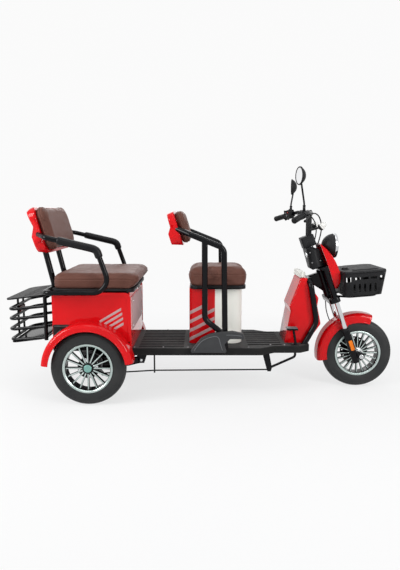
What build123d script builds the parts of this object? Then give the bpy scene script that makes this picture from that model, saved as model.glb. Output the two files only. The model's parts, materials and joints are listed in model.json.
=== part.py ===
from build123d import *
from math import asin, cos, radians, sin
import os

os.makedirs("parts", exist_ok=True)

# Layout: millimetres, +X forward, +Y to the rider's left, Z up from the ground
WHEELBASE = 1550.0
REAR_TRACK = 618.0
REAR_REACH = 474.0
TYRE_OD = 412.0
TYRE_W = 80.0

# Fits between pieces
SEAT_GAP = 0.3
RUN_GAP = 0.05
PANEL = 4.0

AXLE_Z = TYRE_OD / 2
RX = (REAR_REACH - WHEELBASE - AXLE_Z) / 2
FX = RX + WHEELBASE

# Wheels
RIM_SEAT_R = 127.0
RIM_LIP_R = 135.5
RIM_HALF = 36.0
RIM_WALL = 6.0
HUB_R = 33.0
BOLT_FLANGE_R = 60.0
BOLT_CIRCLE_R = 47.0
STUB_R = 10.0
SPOKE_W = 8.0
SPOKE_DEPTH = 20.0
DISC_R = 84.0

# Frame and floor
RAIL_R = 16.0
RAIL_Y = 128.0
DECK_TOP = 290.0
DECK_PLATE = 12.0
DECK_DROP = 41.0
DECK_HALF = 231.0
DECK_REAR = RX + 200.0
DECK_FRONT = FX - 312.0
RAIL_Z = DECK_TOP - DECK_PLATE - SEAT_GAP - RAIL_R

# Rear body
BODY_HALF = REAR_TRACK / 2 - 24.0
BODY_SKIN = 8.0
BODY_REAR = RX - 197.0
BODY_FRONT = RX + 232.0
BODY_TOP = 612.0
BODY_FLOOR = 300.0
BODY_BORDER = 20.0
BODY_RECESS = 2.5
LINER_Y = BODY_HALF - 31.0
FENDER_R = 251.0
FENDER_Y = BODY_HALF + 87.0
FENDER_LIP_R = 211.0

# Seats
PAN = 20.0
REAR_CUSHION_H = 76.0
REAR_SEAT_HALF = BODY_HALF + 5.0
REAR_SEAT_REAR = RX - 200.0
REAR_SEAT_FRONT = RX + 284.0
DRIVER_BOX_HALF = 126.0
DRIVER_BOX_REAR = RX + 545.0
DRIVER_BOX_SPLIT = RX + 692.0
DRIVER_BOX_FRONT = RX + 850.0
DRIVER_BOX_WALL = 5.0
DRIVER_CUSHION_H = 98.0
DRIVER_SEAT_HALF = 165.0
DRIVER_SEAT_REAR = RX + 543.0
DRIVER_SEAT_FRONT = RX + 874.0
HINGE_R = 5.0
HINGE_HALF = 40.0
FRAME_TUBE_R = 16.0
FRAME_TUBE_Y = DECK_HALF - 11.0
ARM_TUBE_R = 14.0
ARM_Y = BODY_HALF + 41.0
POST_Y = RAIL_Y
ARM_LINK_Y = REAR_TRACK / 2 - 151.0
DRUM_Y = REAR_TRACK / 2 - 109.0
HUB_FACE_Y = REAR_TRACK / 2 - 47.0
POST_X = BODY_REAR - RAIL_R - 10.0
REAR_LEAN = 16.0
DRIVER_LEAN = 17.0

# Rear rack
RACK_TUBE_R = 9.0
RACK_HALF = 232.0
REAR_BAR_Y = 45.0
REAR_BAR_R = 6.5
RACK_FRONT = POST_X - RAIL_R - RACK_TUBE_R - SEAT_GAP
RACK_REAR = RX - REAR_REACH + RACK_TUBE_R
SHELF_BOLT_R = 4.25
SHELF_BOLT_CIRCLE = 72.0

# Steering: the axis leans back by RAKE and passes HEAD
RAKE = 20.0
HEAD_Z = 700.0
HEAD_X = FX - 232.0
FORK_LEAD = 16.0
FORK_Y = 84.0
FORK_UPPER_R = 17.0
STANCHION_R = 13.5
LEG_R = 20.0
STEERER_R = 15.0
HEAD_TUBE_R = 24.0
HEAD_TOP = 8.0
HEAD_BOTTOM = -158.0
FRONT_AXLE_R = 8.0
GUARD_R = 245.0
GUARD_HALF = 57.0
BAR_R = 11.0
GRIP_R = 16.0
GRIP_L = 115.0

# Basket
BASKET_TILT = 4.5
BASKET_H = 132.0
BASKET_HALF = 150.0
BASKET_WALL = 4.0

STEER = Plane(
    origin=(HEAD_X, 0, HEAD_Z),
    x_dir=(cos(radians(RAKE)), 0, sin(radians(RAKE))),
    z_dir=(-sin(radians(RAKE)), 0, cos(radians(RAKE))),
)
STEER_SIDE = Plane(origin=STEER.origin, x_dir=STEER.x_dir, z_dir=(0, -1, 0))
AXLE_LEAD = (FX - HEAD_X) * cos(radians(RAKE)) + (AXLE_Z - HEAD_Z) * sin(radians(RAKE))
AXLE_DROP = -(FX - HEAD_X) * sin(radians(RAKE)) + (AXLE_Z - HEAD_Z) * cos(radians(RAKE))


def save(piece, name):
    """Labels a finished piece and writes it to parts/."""
    part = piece.part
    part.label = name
    export_step(part, f"parts/{name}.step")


def block(xs, ys, zs, mode=Mode.ADD):
    """Adds a box that spans the three (low, high) ranges to the open part."""
    centre = (sum(xs) / 2, sum(ys) / 2, sum(zs) / 2)
    with Locations(centre):
        Box(xs[1] - xs[0], ys[1] - ys[0], zs[1] - zs[0], mode=mode)


def tube(points, radius, bends, mode=Mode.ADD):
    """Adds a round tube along straight runs with tangent bends to the open part."""
    with BuildLine() as path:
        FilletPolyline(*points, radius=bends)
    run = path.wire()
    with BuildSketch(Plane(run @ 0, z_dir=run % 0)) as section:
        Circle(radius)
    sweep(sections=section.sketch, path=run, mode=mode)


def rod(start, end, radius, mode=Mode.ADD):
    """Adds a straight round bar between two points to the open part."""
    span = Vector(*end) - Vector(*start)
    with BuildSketch(Plane(Vector(*start), z_dir=span)) as section:
        Circle(radius)
    extrude(to_extrude=section.sketch, amount=span.length, mode=mode)


def side_plate(points, y_low, y_high, rounding=0.0, mode=Mode.ADD):
    """Adds a plate drawn in side view (X, Z) between two Y stations to the open part."""
    with BuildSketch(Plane.XZ.offset(-y_high)) as face:
        Polygon(*points, align=None)
        if rounding:
            fillet(face.vertices(), rounding)
    extrude(to_extrude=face.sketch, amount=y_high - y_low, mode=mode)


def dome(radius, base, apex):
    """Arc of a circle centred on the local y axis, from (radius, base) to (0, apex)."""
    centre = (apex**2 - base**2 - radius**2) / (2 * (apex - base))
    reach = abs(apex - centre)
    turn = 1 if apex > centre else -1
    half = asin(radius / reach) / 2
    ThreePointArc((radius, base), (reach * sin(half), centre + turn * reach * cos(half)), (0, apex))


def steered(lead, side, rise):
    """Point given ahead of the steering axis, to the left and up along the axis."""
    return tuple(STEER.from_local_coords(Vector(lead, side, rise)))


def knuckles(hinge, wall_x):
    """Adds the two outer barrels of a seat hinge, carried by a wall, to the open part."""
    for side in (-1, 1):
        near, far = side * (HINGE_HALF + SEAT_GAP), side * (HINGE_HALF + 18)
        block((wall_x, hinge[0]), sorted((near, far)), (hinge[1] - 3, hinge[1] + 3))
        rod((hinge[0], near, hinge[1]), (hinge[0], far, hinge[1]), HINGE_R)


# Wheels: tyre and spoked rim
WHEELS = [
    # name, axle x, centre y, outward side, spokes, brake disc
    ("rear_right", RX, -REAR_TRACK / 2, -1, 16, False),
    ("rear_left", RX, REAR_TRACK / 2, 1, 16, False),
    ("front", FX, 0.0, -1, 20, True),
]
for name, x, y, side, spokes, has_disc in WHEELS:
    section = Plane(origin=(x, y, AXLE_Z), x_dir=(0, 1, 0), z_dir=(1, 0, 0))
    face = Plane(origin=(x, y, AXLE_Z), x_dir=(1, 0, 0), z_dir=(0, side, 0))
    spin = Axis((x, y, AXLE_Z), (0, 1, 0))
    bore_r = (FRONT_AXLE_R if has_disc else STUB_R) + RUN_GAP
    bead_half = RIM_HALF - 8.0
    seat = RIM_SEAT_R + SEAT_GAP
    shoulder = (TYRE_W / 2 - 9.0, AXLE_Z - 9.0)
    bulge = (TYRE_W / 2, (AXLE_Z + RIM_SEAT_R) / 2)

    with BuildPart() as tyre:
        with BuildSketch(section):
            with BuildLine():
                Line((-bead_half, seat), (bead_half, seat))
                ThreePointArc((bead_half, seat), bulge, shoulder)
                ThreePointArc(shoulder, (0, AXLE_Z), (-shoulder[0], shoulder[1]))
                ThreePointArc((-shoulder[0], shoulder[1]), (-bulge[0], bulge[1]), (-bead_half, seat))
            make_face()
        revolve(axis=spin)
    save(tyre, f"{name}_tyre")

    with BuildPart() as rim:
        with BuildSketch(section):
            with BuildLine():
                Polyline(
                    (-RIM_HALF, RIM_LIP_R),
                    (-RIM_HALF + 2, RIM_LIP_R),
                    (-RIM_HALF + 2, RIM_SEAT_R),
                    (RIM_HALF - 2, RIM_SEAT_R),
                    (RIM_HALF - 2, RIM_LIP_R),
                    (RIM_HALF, RIM_LIP_R),
                    (RIM_HALF, RIM_SEAT_R - 2),
                    (RIM_HALF - 8, RIM_SEAT_R - RIM_WALL),
                    (-RIM_HALF + 8, RIM_SEAT_R - RIM_WALL),
                    (-RIM_HALF, RIM_SEAT_R - 2),
                    close=True,
                )
            make_face()
        revolve(axis=spin)
        spoke_l = RIM_SEAT_R - RIM_WALL - HUB_R + 4
        with BuildSketch(face.offset(6)):
            with PolarLocations(HUB_R - 2 + spoke_l / 2, spokes):
                Rectangle(spoke_l, SPOKE_W)
        extrude(amount=SPOKE_DEPTH)
        with BuildSketch(face.offset(-34)):
            Circle(HUB_R)
        extrude(amount=34 + 26)
        with BuildSketch(face.offset(2)):
            Circle(BOLT_FLANGE_R)
        extrude(amount=8)
        if has_disc:
            with BuildSketch(face.offset(-50)):
                Circle(HUB_R)
            extrude(amount=20)
            with BuildSketch(face.offset(-50)):
                Circle(DISC_R)
                with PolarLocations(DISC_R - 12, 12):
                    Circle(4, mode=Mode.SUBTRACT)
            extrude(amount=4)
            with BuildSketch(face.offset(-60)):
                Circle(bore_r)
            extrude(amount=120, mode=Mode.SUBTRACT)
        else:
            with BuildSketch(face.offset(10)):
                with PolarLocations(BOLT_CIRCLE_R, 4, start_angle=22.5 / 2):
                    Circle(8)
            extrude(amount=10)
            with BuildSketch(face.offset(26)):
                Circle(22)
            extrude(amount=9, taper=15)
            with BuildSketch(face.offset(-40)):
                Circle(bore_r)
            extrude(amount=60, mode=Mode.SUBTRACT)
    save(rim, f"{name}_rim")

# Main frame: floor rails that sweep up to the head tube, rear cross members and arm brackets
rise_x = FX - 355.0
knee = (FX - 273.0, 415.0)
arch = (FX - 315.0, 655.0)
half_loop = [
    (POST_X - RAIL_R, RAIL_Y, RAIL_Z),
    (rise_x, RAIL_Y, RAIL_Z),
    (knee[0], RAIL_Y, knee[1]),
    (arch[0], RAIL_Y, arch[1]),
]
frame_loop = half_loop + [(x, -y, z) for x, y, z in reversed(half_loop)]
frame_bends = [60, 90, 45, 45, 90, 60]
pivot = (FX - 547.0, 154.0)
pedal_y = -RAIL_Y - RAIL_R - 16.0
with BuildPart() as main_frame:
    tube(frame_loop, RAIL_R, frame_bends)
    for cross_x in (RX + 250, RX + 520, RX + 870, FX - 400):
        rod((cross_x, -RAIL_Y, RAIL_Z), (cross_x, RAIL_Y, RAIL_Z), 12)
    for beam_x in (BODY_REAR + 45, BODY_FRONT - 55):
        block((beam_x - 15, beam_x + 15), (-LINER_Y, LINER_Y), (RAIL_Z, BODY_FLOOR - PANEL - SEAT_GAP))
    with BuildSketch(STEER.offset(HEAD_BOTTOM)):
        Circle(HEAD_TUBE_R)
    extrude(amount=HEAD_TOP - HEAD_BOTTOM)
    side_plate(
        [
            (arch[0], arch[1] - 12),
            (arch[0], arch[1] + 12),
            (HEAD_X + 2, HEAD_Z - 4),
            (HEAD_X + 42, HEAD_Z - 128),
            (HEAD_X + 18, HEAD_Z - 120),
        ],
        -14,
        14,
    )
    with BuildSketch(STEER.offset(HEAD_BOTTOM - 20)):
        Circle(STEERER_R + RUN_GAP)
    extrude(amount=HEAD_TOP - HEAD_BOTTOM + 40, mode=Mode.SUBTRACT)
    for side in (-1, 1):
        y_mid = side * ARM_LINK_Y
        for y_face in (y_mid - 24, y_mid + 18):
            side_plate(
                [
                    (RX + 240, RAIL_Z),
                    (RX + 310, RAIL_Z),
                    (RX + 288, 190),
                    (RX + 258, 190),
                ],
                y_face,
                y_face + 6,
            )
        block(
            (RX + 240, RX + 310),
            (min(side * RAIL_Y, y_mid + side * 24), max(side * RAIL_Y, y_mid + side * 24)),
            (RAIL_Z - 4, RAIL_Z + 4),
        )
        rod((RX + 272, y_mid - 30, 209), (RX + 272, y_mid + 30, 209), 6)
    for y_face in (pedal_y - 14, pedal_y + 9):
        side_plate(
            [
                (pivot[0] - 46, RAIL_Z + 8),
                (pivot[0] - 6, RAIL_Z + 8),
                (pivot[0] + 16, pivot[1] + 6),
                (pivot[0] + 10, pivot[1] - 16),
                (pivot[0] - 10, pivot[1] - 16),
                (pivot[0] - 16, pivot[1] + 6),
            ],
            y_face,
            y_face + 5,
        )
    block((pivot[0] - 46, pivot[0] - 6), (pedal_y - 14, -RAIL_Y), (RAIL_Z - 4, RAIL_Z + 8))
    rod((pivot[0], pedal_y - 16, pivot[1]), (pivot[0], pedal_y + 16, pivot[1]), 6)
    hanger_x = RX + 345
    block((hanger_x - 4, hanger_x + 4), (pedal_y - 10, pedal_y + 10), (128, RAIL_Z + 4))
    block((hanger_x - 4, hanger_x + 4), (pedal_y - 10, -RAIL_Y), (RAIL_Z - 6, RAIL_Z + 4))
    rod((hanger_x - 8, pedal_y, 140), (hanger_x + 8, pedal_y, 140), 4.6, mode=Mode.SUBTRACT)
save(main_frame, "main_frame")

# Floor: a shallow moulded tray over the rails, with long grooves
with BuildPart() as floor_deck:
    with BuildSketch(Plane.XY.offset(DECK_TOP - DECK_DROP)) as outline:
        Polygon(
            (DECK_REAR, -DECK_HALF),
            (RX + 950, -DECK_HALF),
            (RX + 1030, -DECK_HALF + 50),
            (DECK_FRONT - 60, -DECK_HALF + 50),
            (DECK_FRONT, -DECK_HALF + 95),
            (DECK_FRONT, DECK_HALF - 95),
            (DECK_FRONT - 60, DECK_HALF - 50),
            (RX + 1030, DECK_HALF - 50),
            (RX + 950, DECK_HALF),
            (DECK_REAR, DECK_HALF),
            align=None,
        )
        fillet(outline.vertices().group_by(Axis.X)[1:], 25)
    extrude(amount=DECK_DROP)
    fillet(floor_deck.faces().sort_by(Axis.Z)[-1].outer_wire().edges(), 8)
    with BuildSketch(Plane.XY.offset(DECK_TOP - DECK_DROP)) as hollow:
        Polygon(
            (DECK_REAR - 1, -DECK_HALF + 8),
            (RX + 947, -DECK_HALF + 8),
            (RX + 1027, -DECK_HALF + 58),
            (DECK_FRONT - 62, -DECK_HALF + 58),
            (DECK_FRONT - 8, -DECK_HALF + 99),
            (DECK_FRONT - 8, DECK_HALF - 99),
            (DECK_FRONT - 62, DECK_HALF - 58),
            (RX + 1027, DECK_HALF - 58),
            (RX + 947, DECK_HALF - 8),
            (DECK_REAR - 1, DECK_HALF - 8),
            align=None,
        )
    extrude(amount=DECK_DROP - DECK_PLATE, mode=Mode.SUBTRACT)
    for x_low, x_high, half in ((RX + 262, RX + 515, 200), (RX + 880, RX + 1075, 150)):
        count = 2 * int(half / 40) + 1
        with BuildSketch(Plane.XY.offset(DECK_TOP)):
            with Locations(((x_low + x_high) / 2, 0)):
                with GridLocations(1, 2 * half / (count - 1), 1, count):
                    SlotOverall(x_high - x_low, 8)
        extrude(amount=-3, mode=Mode.SUBTRACT)
    tube(frame_loop, RAIL_R + 1, frame_bends, mode=Mode.SUBTRACT)
    block((FX - 425, FX - 378), (pedal_y - 10, pedal_y + 10), (DECK_TOP - 20, DECK_TOP + 1), mode=Mode.SUBTRACT)
save(floor_deck, "floor_deck")

# Rear body: two outer sides with wheel arches, inner liners, front, back and floor panels
with BuildPart() as rear_sides:
    for side in (-1, 1):
        y_range = sorted((side * BODY_HALF, side * (BODY_HALF - BODY_SKIN)))
        with BuildSketch(Plane.XZ.offset(-y_range[1])) as panel:
            Polygon(
                (BODY_REAR, 340),
                (BODY_FRONT, 340),
                (BODY_FRONT, BODY_TOP),
                (BODY_REAR, BODY_TOP),
                align=None,
            )
            fillet(panel.vertices().group_by(Axis.Y)[-1].sort_by(Axis.X)[-1], 34)
            with Locations((RX, AXLE_Z)):
                Circle(FENDER_R + SEAT_GAP, mode=Mode.SUBTRACT)
        extrude(amount=BODY_SKIN)
        with BuildSketch(Plane.XZ.offset(-side * BODY_HALF)) as field:
            Polygon(
                (BODY_REAR - 1, 339),
                (BODY_FRONT - BODY_BORDER, 339),
                (BODY_FRONT - BODY_BORDER, BODY_TOP - BODY_BORDER),
                (BODY_REAR - 1, BODY_TOP - BODY_BORDER),
                align=None,
            )
            fillet(field.vertices().group_by(Axis.Y)[-1].sort_by(Axis.X)[-1], 24)
        extrude(amount=side * BODY_RECESS, mode=Mode.SUBTRACT)
save(rear_sides, "rear_sides")

inner_half = BODY_HALF - BODY_SKIN - SEAT_GAP
hinge_rear = (BODY_FRONT + HINGE_R + 2, BODY_TOP - 10)
with BuildPart() as rear_front_panel:
    block((BODY_FRONT - 12, BODY_FRONT - 2), (-inner_half, inner_half), (DECK_TOP + SEAT_GAP, BODY_TOP - 30))
    block((BODY_FRONT - 12, BODY_FRONT - 6), (-inner_half, inner_half), (BODY_TOP - 31, BODY_TOP))
    knuckles(hinge_rear, BODY_FRONT - 8)
save(rear_front_panel, "rear_front_panel")

with BuildPart() as rear_back_panel:
    block((BODY_REAR, BODY_REAR + 6), (-inner_half, inner_half), (BODY_FLOOR - PANEL, BODY_TOP))
save(rear_back_panel, "rear_back_panel")

with BuildPart() as rear_tub:
    inside_x = (BODY_REAR + 6 + SEAT_GAP, BODY_FRONT - 12 - SEAT_GAP)
    block(inside_x, (-LINER_Y, LINER_Y), (BODY_FLOOR - PANEL, BODY_FLOOR))
    for side in (-1, 1):
        block(inside_x, sorted((side * LINER_Y, side * (LINER_Y - PANEL))), (BODY_FLOOR + 0.1, BODY_TOP))
save(rear_tub, "rear_tub")

# Rear fenders: a crown and a turned-down lip swept round the axle
fender_start = 8.0
fender_sweep = 167.0
with BuildPart() as rear_fenders:
    for side in (-1, 1):
        plane = Plane(
            origin=(RX, 0, AXLE_Z),
            x_dir=(0, side, 0),
            z_dir=(-side * sin(radians(fender_start)), 0, side * cos(radians(fender_start))),
        )
        with BuildSketch(plane):
            with BuildLine():
                sign = -1 if (plane.y_dir.X > 0) != (cos(radians(fender_start)) > 0) else 1
                FilletPolyline(
                    (BODY_HALF - BODY_SKIN, sign * FENDER_R),
                    (FENDER_Y, sign * FENDER_R),
                    (FENDER_Y, sign * FENDER_LIP_R),
                    (FENDER_Y - PANEL, sign * FENDER_LIP_R),
                    (FENDER_Y - PANEL, sign * (FENDER_R - PANEL)),
                    (BODY_HALF - BODY_SKIN, sign * (FENDER_R - PANEL)),
                    radius=[24, 0, 0, 20],
                )
                Line(
                    (BODY_HALF - BODY_SKIN, sign * (FENDER_R - PANEL)),
                    (BODY_HALF - BODY_SKIN, sign * FENDER_R),
                )
            make_face()
        revolve(axis=Axis((RX, 0, AXLE_Z), (0, -1, 0)), revolution_arc=fender_sweep)
save(rear_fenders, "rear_fenders")

# Rear axle: motor and differential in one housing, brake drums and wheel stubs
with BuildPart() as rear_axle:
    rod((RX, -DRUM_Y, AXLE_Z), (RX, DRUM_Y, AXLE_Z), 24)
    for side in (-1, 1):
        rod((RX, side * DRUM_Y, AXLE_Z), (RX, side * HUB_FACE_Y, AXLE_Z), 58)
        rod((RX, side * HUB_FACE_Y, AXLE_Z), (RX, side * (REAR_TRACK / 2 + 18), AXLE_Z), STUB_R)
    rod((RX, -70, AXLE_Z), (RX, 70, AXLE_Z), 58)
    rod((RX + 40, -40, AXLE_Z - 20), (RX + 40, 104, AXLE_Z - 20), 66)
    side_plate(
        [(RX - 10, AXLE_Z - 30), (RX + 50, 122), (RX + 74, 122), (RX + 30, AXLE_Z - 30)],
        -DRUM_Y - 1,
        -DRUM_Y + 8,
    )
save(rear_axle, "rear_axle")

# Rear trailing arms, from the frame brackets back to the axle
with BuildPart() as rear_arms:
    for side in (-1, 1):
        y_mid = side * ARM_LINK_Y
        with BuildSketch(Plane.XZ.offset(-(y_mid + 16))) as arm:
            with BuildLine():
                Polyline(
                    (RX - 34, AXLE_Z - 32),
                    (RX + 60, AXLE_Z - 52),
                    (RX + 200, AXLE_Z - 34),
                    (RX + 290, AXLE_Z - 12),
                    (RX + 290, AXLE_Z + 18),
                    (RX + 200, AXLE_Z + 6),
                    (RX + 60, AXLE_Z + 30),
                    (RX - 34, AXLE_Z + 32),
                    close=True,
                )
            make_face()
            fillet(arm.vertices(), 10)
            with Locations((RX, AXLE_Z)):
                Circle(24 + SEAT_GAP, mode=Mode.SUBTRACT)
            with Locations((RX + 272, 209)):
                Circle(6 + RUN_GAP, mode=Mode.SUBTRACT)
        extrude(amount=32)
save(rear_arms, "rear_arms")

# Rear seat: pan and cushion lift together about a barrel ahead of the front panel
pan_z = (BODY_TOP + SEAT_GAP, BODY_TOP + PAN)
with BuildPart() as rear_seat_pan:
    with BuildSketch(Plane.XY.offset(pan_z[0])) as outline:
        with Locations(((REAR_SEAT_REAR + hinge_rear[0] + 8) / 2, 0)):
            RectangleRounded(hinge_rear[0] + 8 - REAR_SEAT_REAR, 2 * (REAR_SEAT_HALF - 12), 40)
    extrude(amount=pan_z[1] - pan_z[0])
    block(
        (hinge_rear[0] - 3, hinge_rear[0] + 3),
        (-HINGE_HALF + 1, HINGE_HALF - 1),
        (hinge_rear[1], pan_z[0] + 1),
    )
    rod(
        (hinge_rear[0], -HINGE_HALF + 1, hinge_rear[1]),
        (hinge_rear[0], HINGE_HALF - 1, hinge_rear[1]),
        HINGE_R,
    )
save(rear_seat_pan, "rear_seat_pan")

cushion_top = pan_z[1] + REAR_CUSHION_H
with BuildPart() as rear_cushion:
    side_plate(
        [
            (REAR_SEAT_REAR, pan_z[1]),
            (BODY_FRONT, pan_z[1]),
            (REAR_SEAT_FRONT, pan_z[1] + REAR_CUSHION_H / 2),
            (REAR_SEAT_FRONT, cushion_top),
            (REAR_SEAT_REAR, cushion_top),
        ],
        -REAR_SEAT_HALF,
        REAR_SEAT_HALF,
    )
    with BuildSketch(Plane.XY.offset(pan_z[1])) as outline:
        with Locations(((REAR_SEAT_REAR + REAR_SEAT_FRONT) / 2, 0)):
            RectangleRounded(REAR_SEAT_FRONT - REAR_SEAT_REAR, 2 * REAR_SEAT_HALF, 50)
    extrude(amount=REAR_CUSHION_H, mode=Mode.INTERSECT)
    fillet(rear_cushion.faces().sort_by(Axis.Z)[-1].edges(), 26)
save(rear_cushion, "rear_cushion")

# Rear seat arms: one bent tube a side, with a soft pad on the upper run
arm_high = (RX + 62.0, 849.0)
arm_low = (RX + 142.0, 617.0)
arm_back = RX - 225.0
with BuildPart() as rear_arm_tubes:
    for side in (-1, 1):
        tube(
            [
                (RX - 262, side * (BODY_HALF - 29), 924),
                (RX - 205, side * ARM_Y, 911),
                (arm_high[0], side * ARM_Y, arm_high[1]),
                (arm_low[0], side * ARM_Y, arm_low[1]),
                (arm_back, side * ARM_Y, arm_low[1]),
                (arm_back, side * (POST_Y + RAIL_R + SEAT_GAP), arm_low[1]),
            ],
            ARM_TUBE_R,
            [30, 55, 75, 35],
        )
save(rear_arm_tubes, "rear_arm_tubes")

arm_leg = Vector(arm_low[0] - arm_high[0], 0, arm_low[1] - arm_high[1]).normalized()
pad_start = (RX - 140.0, 911 - (911 - arm_high[1]) * (205 - 140) / (205 + 62))
pad_end = (arm_high[0] + 46 * arm_leg.X, arm_high[1] + 46 * arm_leg.Z)
with BuildPart() as rear_arm_pads:
    for radius, mode in ((ARM_TUBE_R + 7, Mode.ADD), (ARM_TUBE_R + 0.1, Mode.SUBTRACT)):
        for side in (-1, 1):
            tube([(x, side * ARM_Y, z) for x, z in (pad_start, arm_high, pad_end)], radius, 55, mode=mode)
save(rear_arm_pads, "rear_arm_pads")

# Rear backrest: posts up from the rails, a hard shell and a pad in the leaning plane
REAR_BACK = Plane(
    origin=(RX - 177, 0, 843),
    x_dir=(0, 1, 0),
    z_dir=(cos(radians(REAR_LEAN)), 0, sin(radians(REAR_LEAN))),
)
with BuildPart() as rear_posts:
    for side in (-1, 1):
        tube(
            [
                (POST_X, side * POST_Y, RAIL_Z + RAIL_R + SEAT_GAP),
                (POST_X, side * POST_Y, 640),
                (RX - 266, side * POST_Y, 826),
                (RX - 276, side * POST_Y, 902),
            ],
            RAIL_R,
            [120, 200],
        )
save(rear_posts, "rear_posts")

back_h = 247.0
back_pad = 46.0
with BuildPart() as rear_back_pad:
    with BuildSketch(REAR_BACK) as outline:
        with Locations((0, back_h / 2)):
            RectangleRounded(2 * (BODY_HALF - 37), back_h, 60)
    extrude(amount=-back_pad)
    fillet(rear_back_pad.faces().sort_by(Axis.X)[-1].edges(), 22)
save(rear_back_pad, "rear_back_pad")

parting = REAR_BACK.offset(-back_pad - SEAT_GAP)
foot, head = (parting.from_local_coords(Vector(0, rise, 0)) for rise in (-10, back_h))
with BuildPart() as rear_back_shell:
    side_plate(
        [
            (foot.X, foot.Z),
            (head.X, head.Z),
            (RX - 312, 1070),
            (RX - 329, 1043),
            (RX - 290, 964),
            (RX - 302, 910),
            (RX - 276, 828),
        ],
        -BODY_HALF,
        BODY_HALF,
    )
    with BuildSketch(parting) as outline:
        with Locations((0, back_h / 2)):
            RectangleRounded(2 * (BODY_HALF - 33), back_h + 16, 66)
    extrude(amount=-90, taper=9, mode=Mode.INTERSECT)
    add(rear_posts.part, mode=Mode.SUBTRACT)
    add(rear_arm_tubes.part, mode=Mode.SUBTRACT)
save(rear_back_shell, "rear_back_shell")

# Rear rack: hoops that slope down to the rear, uprights, floor sheet and top shelf
rack_drop = 26.0
HOOPS = [
    # front z, rear half width
    (530.0, 205.0),
    (475.0, 205.0),
    (416.0, 205.0),
    (353.0, 190.0),
]
with BuildPart() as rear_rack:
    for front_z, rear_half in HOOPS:
        tube(
            [
                (RACK_FRONT, -RACK_HALF, front_z),
                (RACK_REAR, -rear_half, front_z - rack_drop),
                (RACK_REAR, rear_half, front_z - rack_drop),
                (RACK_FRONT, RACK_HALF, front_z),
            ],
            RACK_TUBE_R,
            60,
        )
    for side in (-1, 1):
        rod((RACK_FRONT, side * RACK_HALF, 338), (RACK_FRONT, side * RACK_HALF, 584), RACK_TUBE_R + 1.5)
        rod((RACK_REAR, side * REAR_BAR_Y, 318), (RACK_REAR, side * REAR_BAR_Y, 558.5), REAR_BAR_R)
    for cross_z in (366.0, 575.0):
        rod((RACK_FRONT, -RACK_HALF, cross_z), (RACK_FRONT, RACK_HALF, cross_z), RACK_TUBE_R - 0.6)
save(rear_rack, "rear_rack")

RACK_SLOPE = Plane(
    origin=(RACK_FRONT, 0, 353),
    x_dir=(RACK_FRONT - RACK_REAR, 0, rack_drop),
    z_dir=(-rack_drop, 0, RACK_FRONT - RACK_REAR),
)
rack_l = RACK_FRONT - RACK_REAR
SHELF_PLATE = 8.0
SHELF_LIP = 5.0
SHELF = Plane(origin=(RACK_FRONT, 0, 586), x_dir=RACK_SLOPE.x_dir, z_dir=RACK_SLOPE.z_dir)
shelf_l = (RACK_FRONT - RX + REAR_REACH - SHELF_PLATE * SHELF.x_dir.Z) / SHELF.x_dir.X + SHELF_LIP
with BuildPart() as rack_shelf:
    with BuildSketch(SHELF) as outline:
        with Locations((SHELF_LIP - shelf_l / 2, 0)):
            RectangleRounded(shelf_l, 2 * RACK_HALF - 8, 45)
        with Locations((-76, 0)):
            with GridLocations(70, 32, 2, 12):
                SlotOverall(60, 10, mode=Mode.SUBTRACT)
        with Locations((-rack_l + 36, 0)):
            with PolarLocations(SHELF_BOLT_CIRCLE / 2, 4, start_angle=45):
                Circle(SHELF_BOLT_R, mode=Mode.SUBTRACT)
    extrude(amount=SHELF_PLATE)
save(rack_shelf, "rack_shelf")

with BuildPart() as rack_floor:
    with BuildSketch(RACK_SLOPE.offset(-RACK_TUBE_R - PANEL - SEAT_GAP)) as outline:
        with Locations((-rack_l / 2, 0)):
            RectangleRounded(rack_l - 10, 2 * RACK_HALF - 40, 40)
    extrude(amount=PANEL)
save(rack_floor, "rack_floor")

# Driver seat base: red rear half, cream front half, and the battery inside
box_z = (DECK_TOP + SEAT_GAP, BODY_TOP)
with BuildPart() as driver_box:
    with BuildSketch(Plane.XY.offset(box_z[0])) as outline:
        with Locations(((DRIVER_BOX_REAR + DRIVER_BOX_SPLIT) / 2, 0)):
            Rectangle(DRIVER_BOX_SPLIT - DRIVER_BOX_REAR, 2 * DRIVER_BOX_HALF)
        fillet(outline.vertices().group_by(Axis.X)[0], 28)
    extrude(amount=box_z[1] - box_z[0])
    with BuildSketch(Plane.XY.offset(box_z[0])) as inside:
        with Locations(((DRIVER_BOX_REAR + DRIVER_BOX_WALL + DRIVER_BOX_SPLIT + 1) / 2, 0)):
            Rectangle(
                DRIVER_BOX_SPLIT + 1 - DRIVER_BOX_REAR - DRIVER_BOX_WALL,
                2 * (DRIVER_BOX_HALF - DRIVER_BOX_WALL),
            )
        fillet(inside.vertices().group_by(Axis.X)[0], 28 - DRIVER_BOX_WALL)
    extrude(amount=box_z[1] - box_z[0], mode=Mode.SUBTRACT)
save(driver_box, "driver_box")

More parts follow.
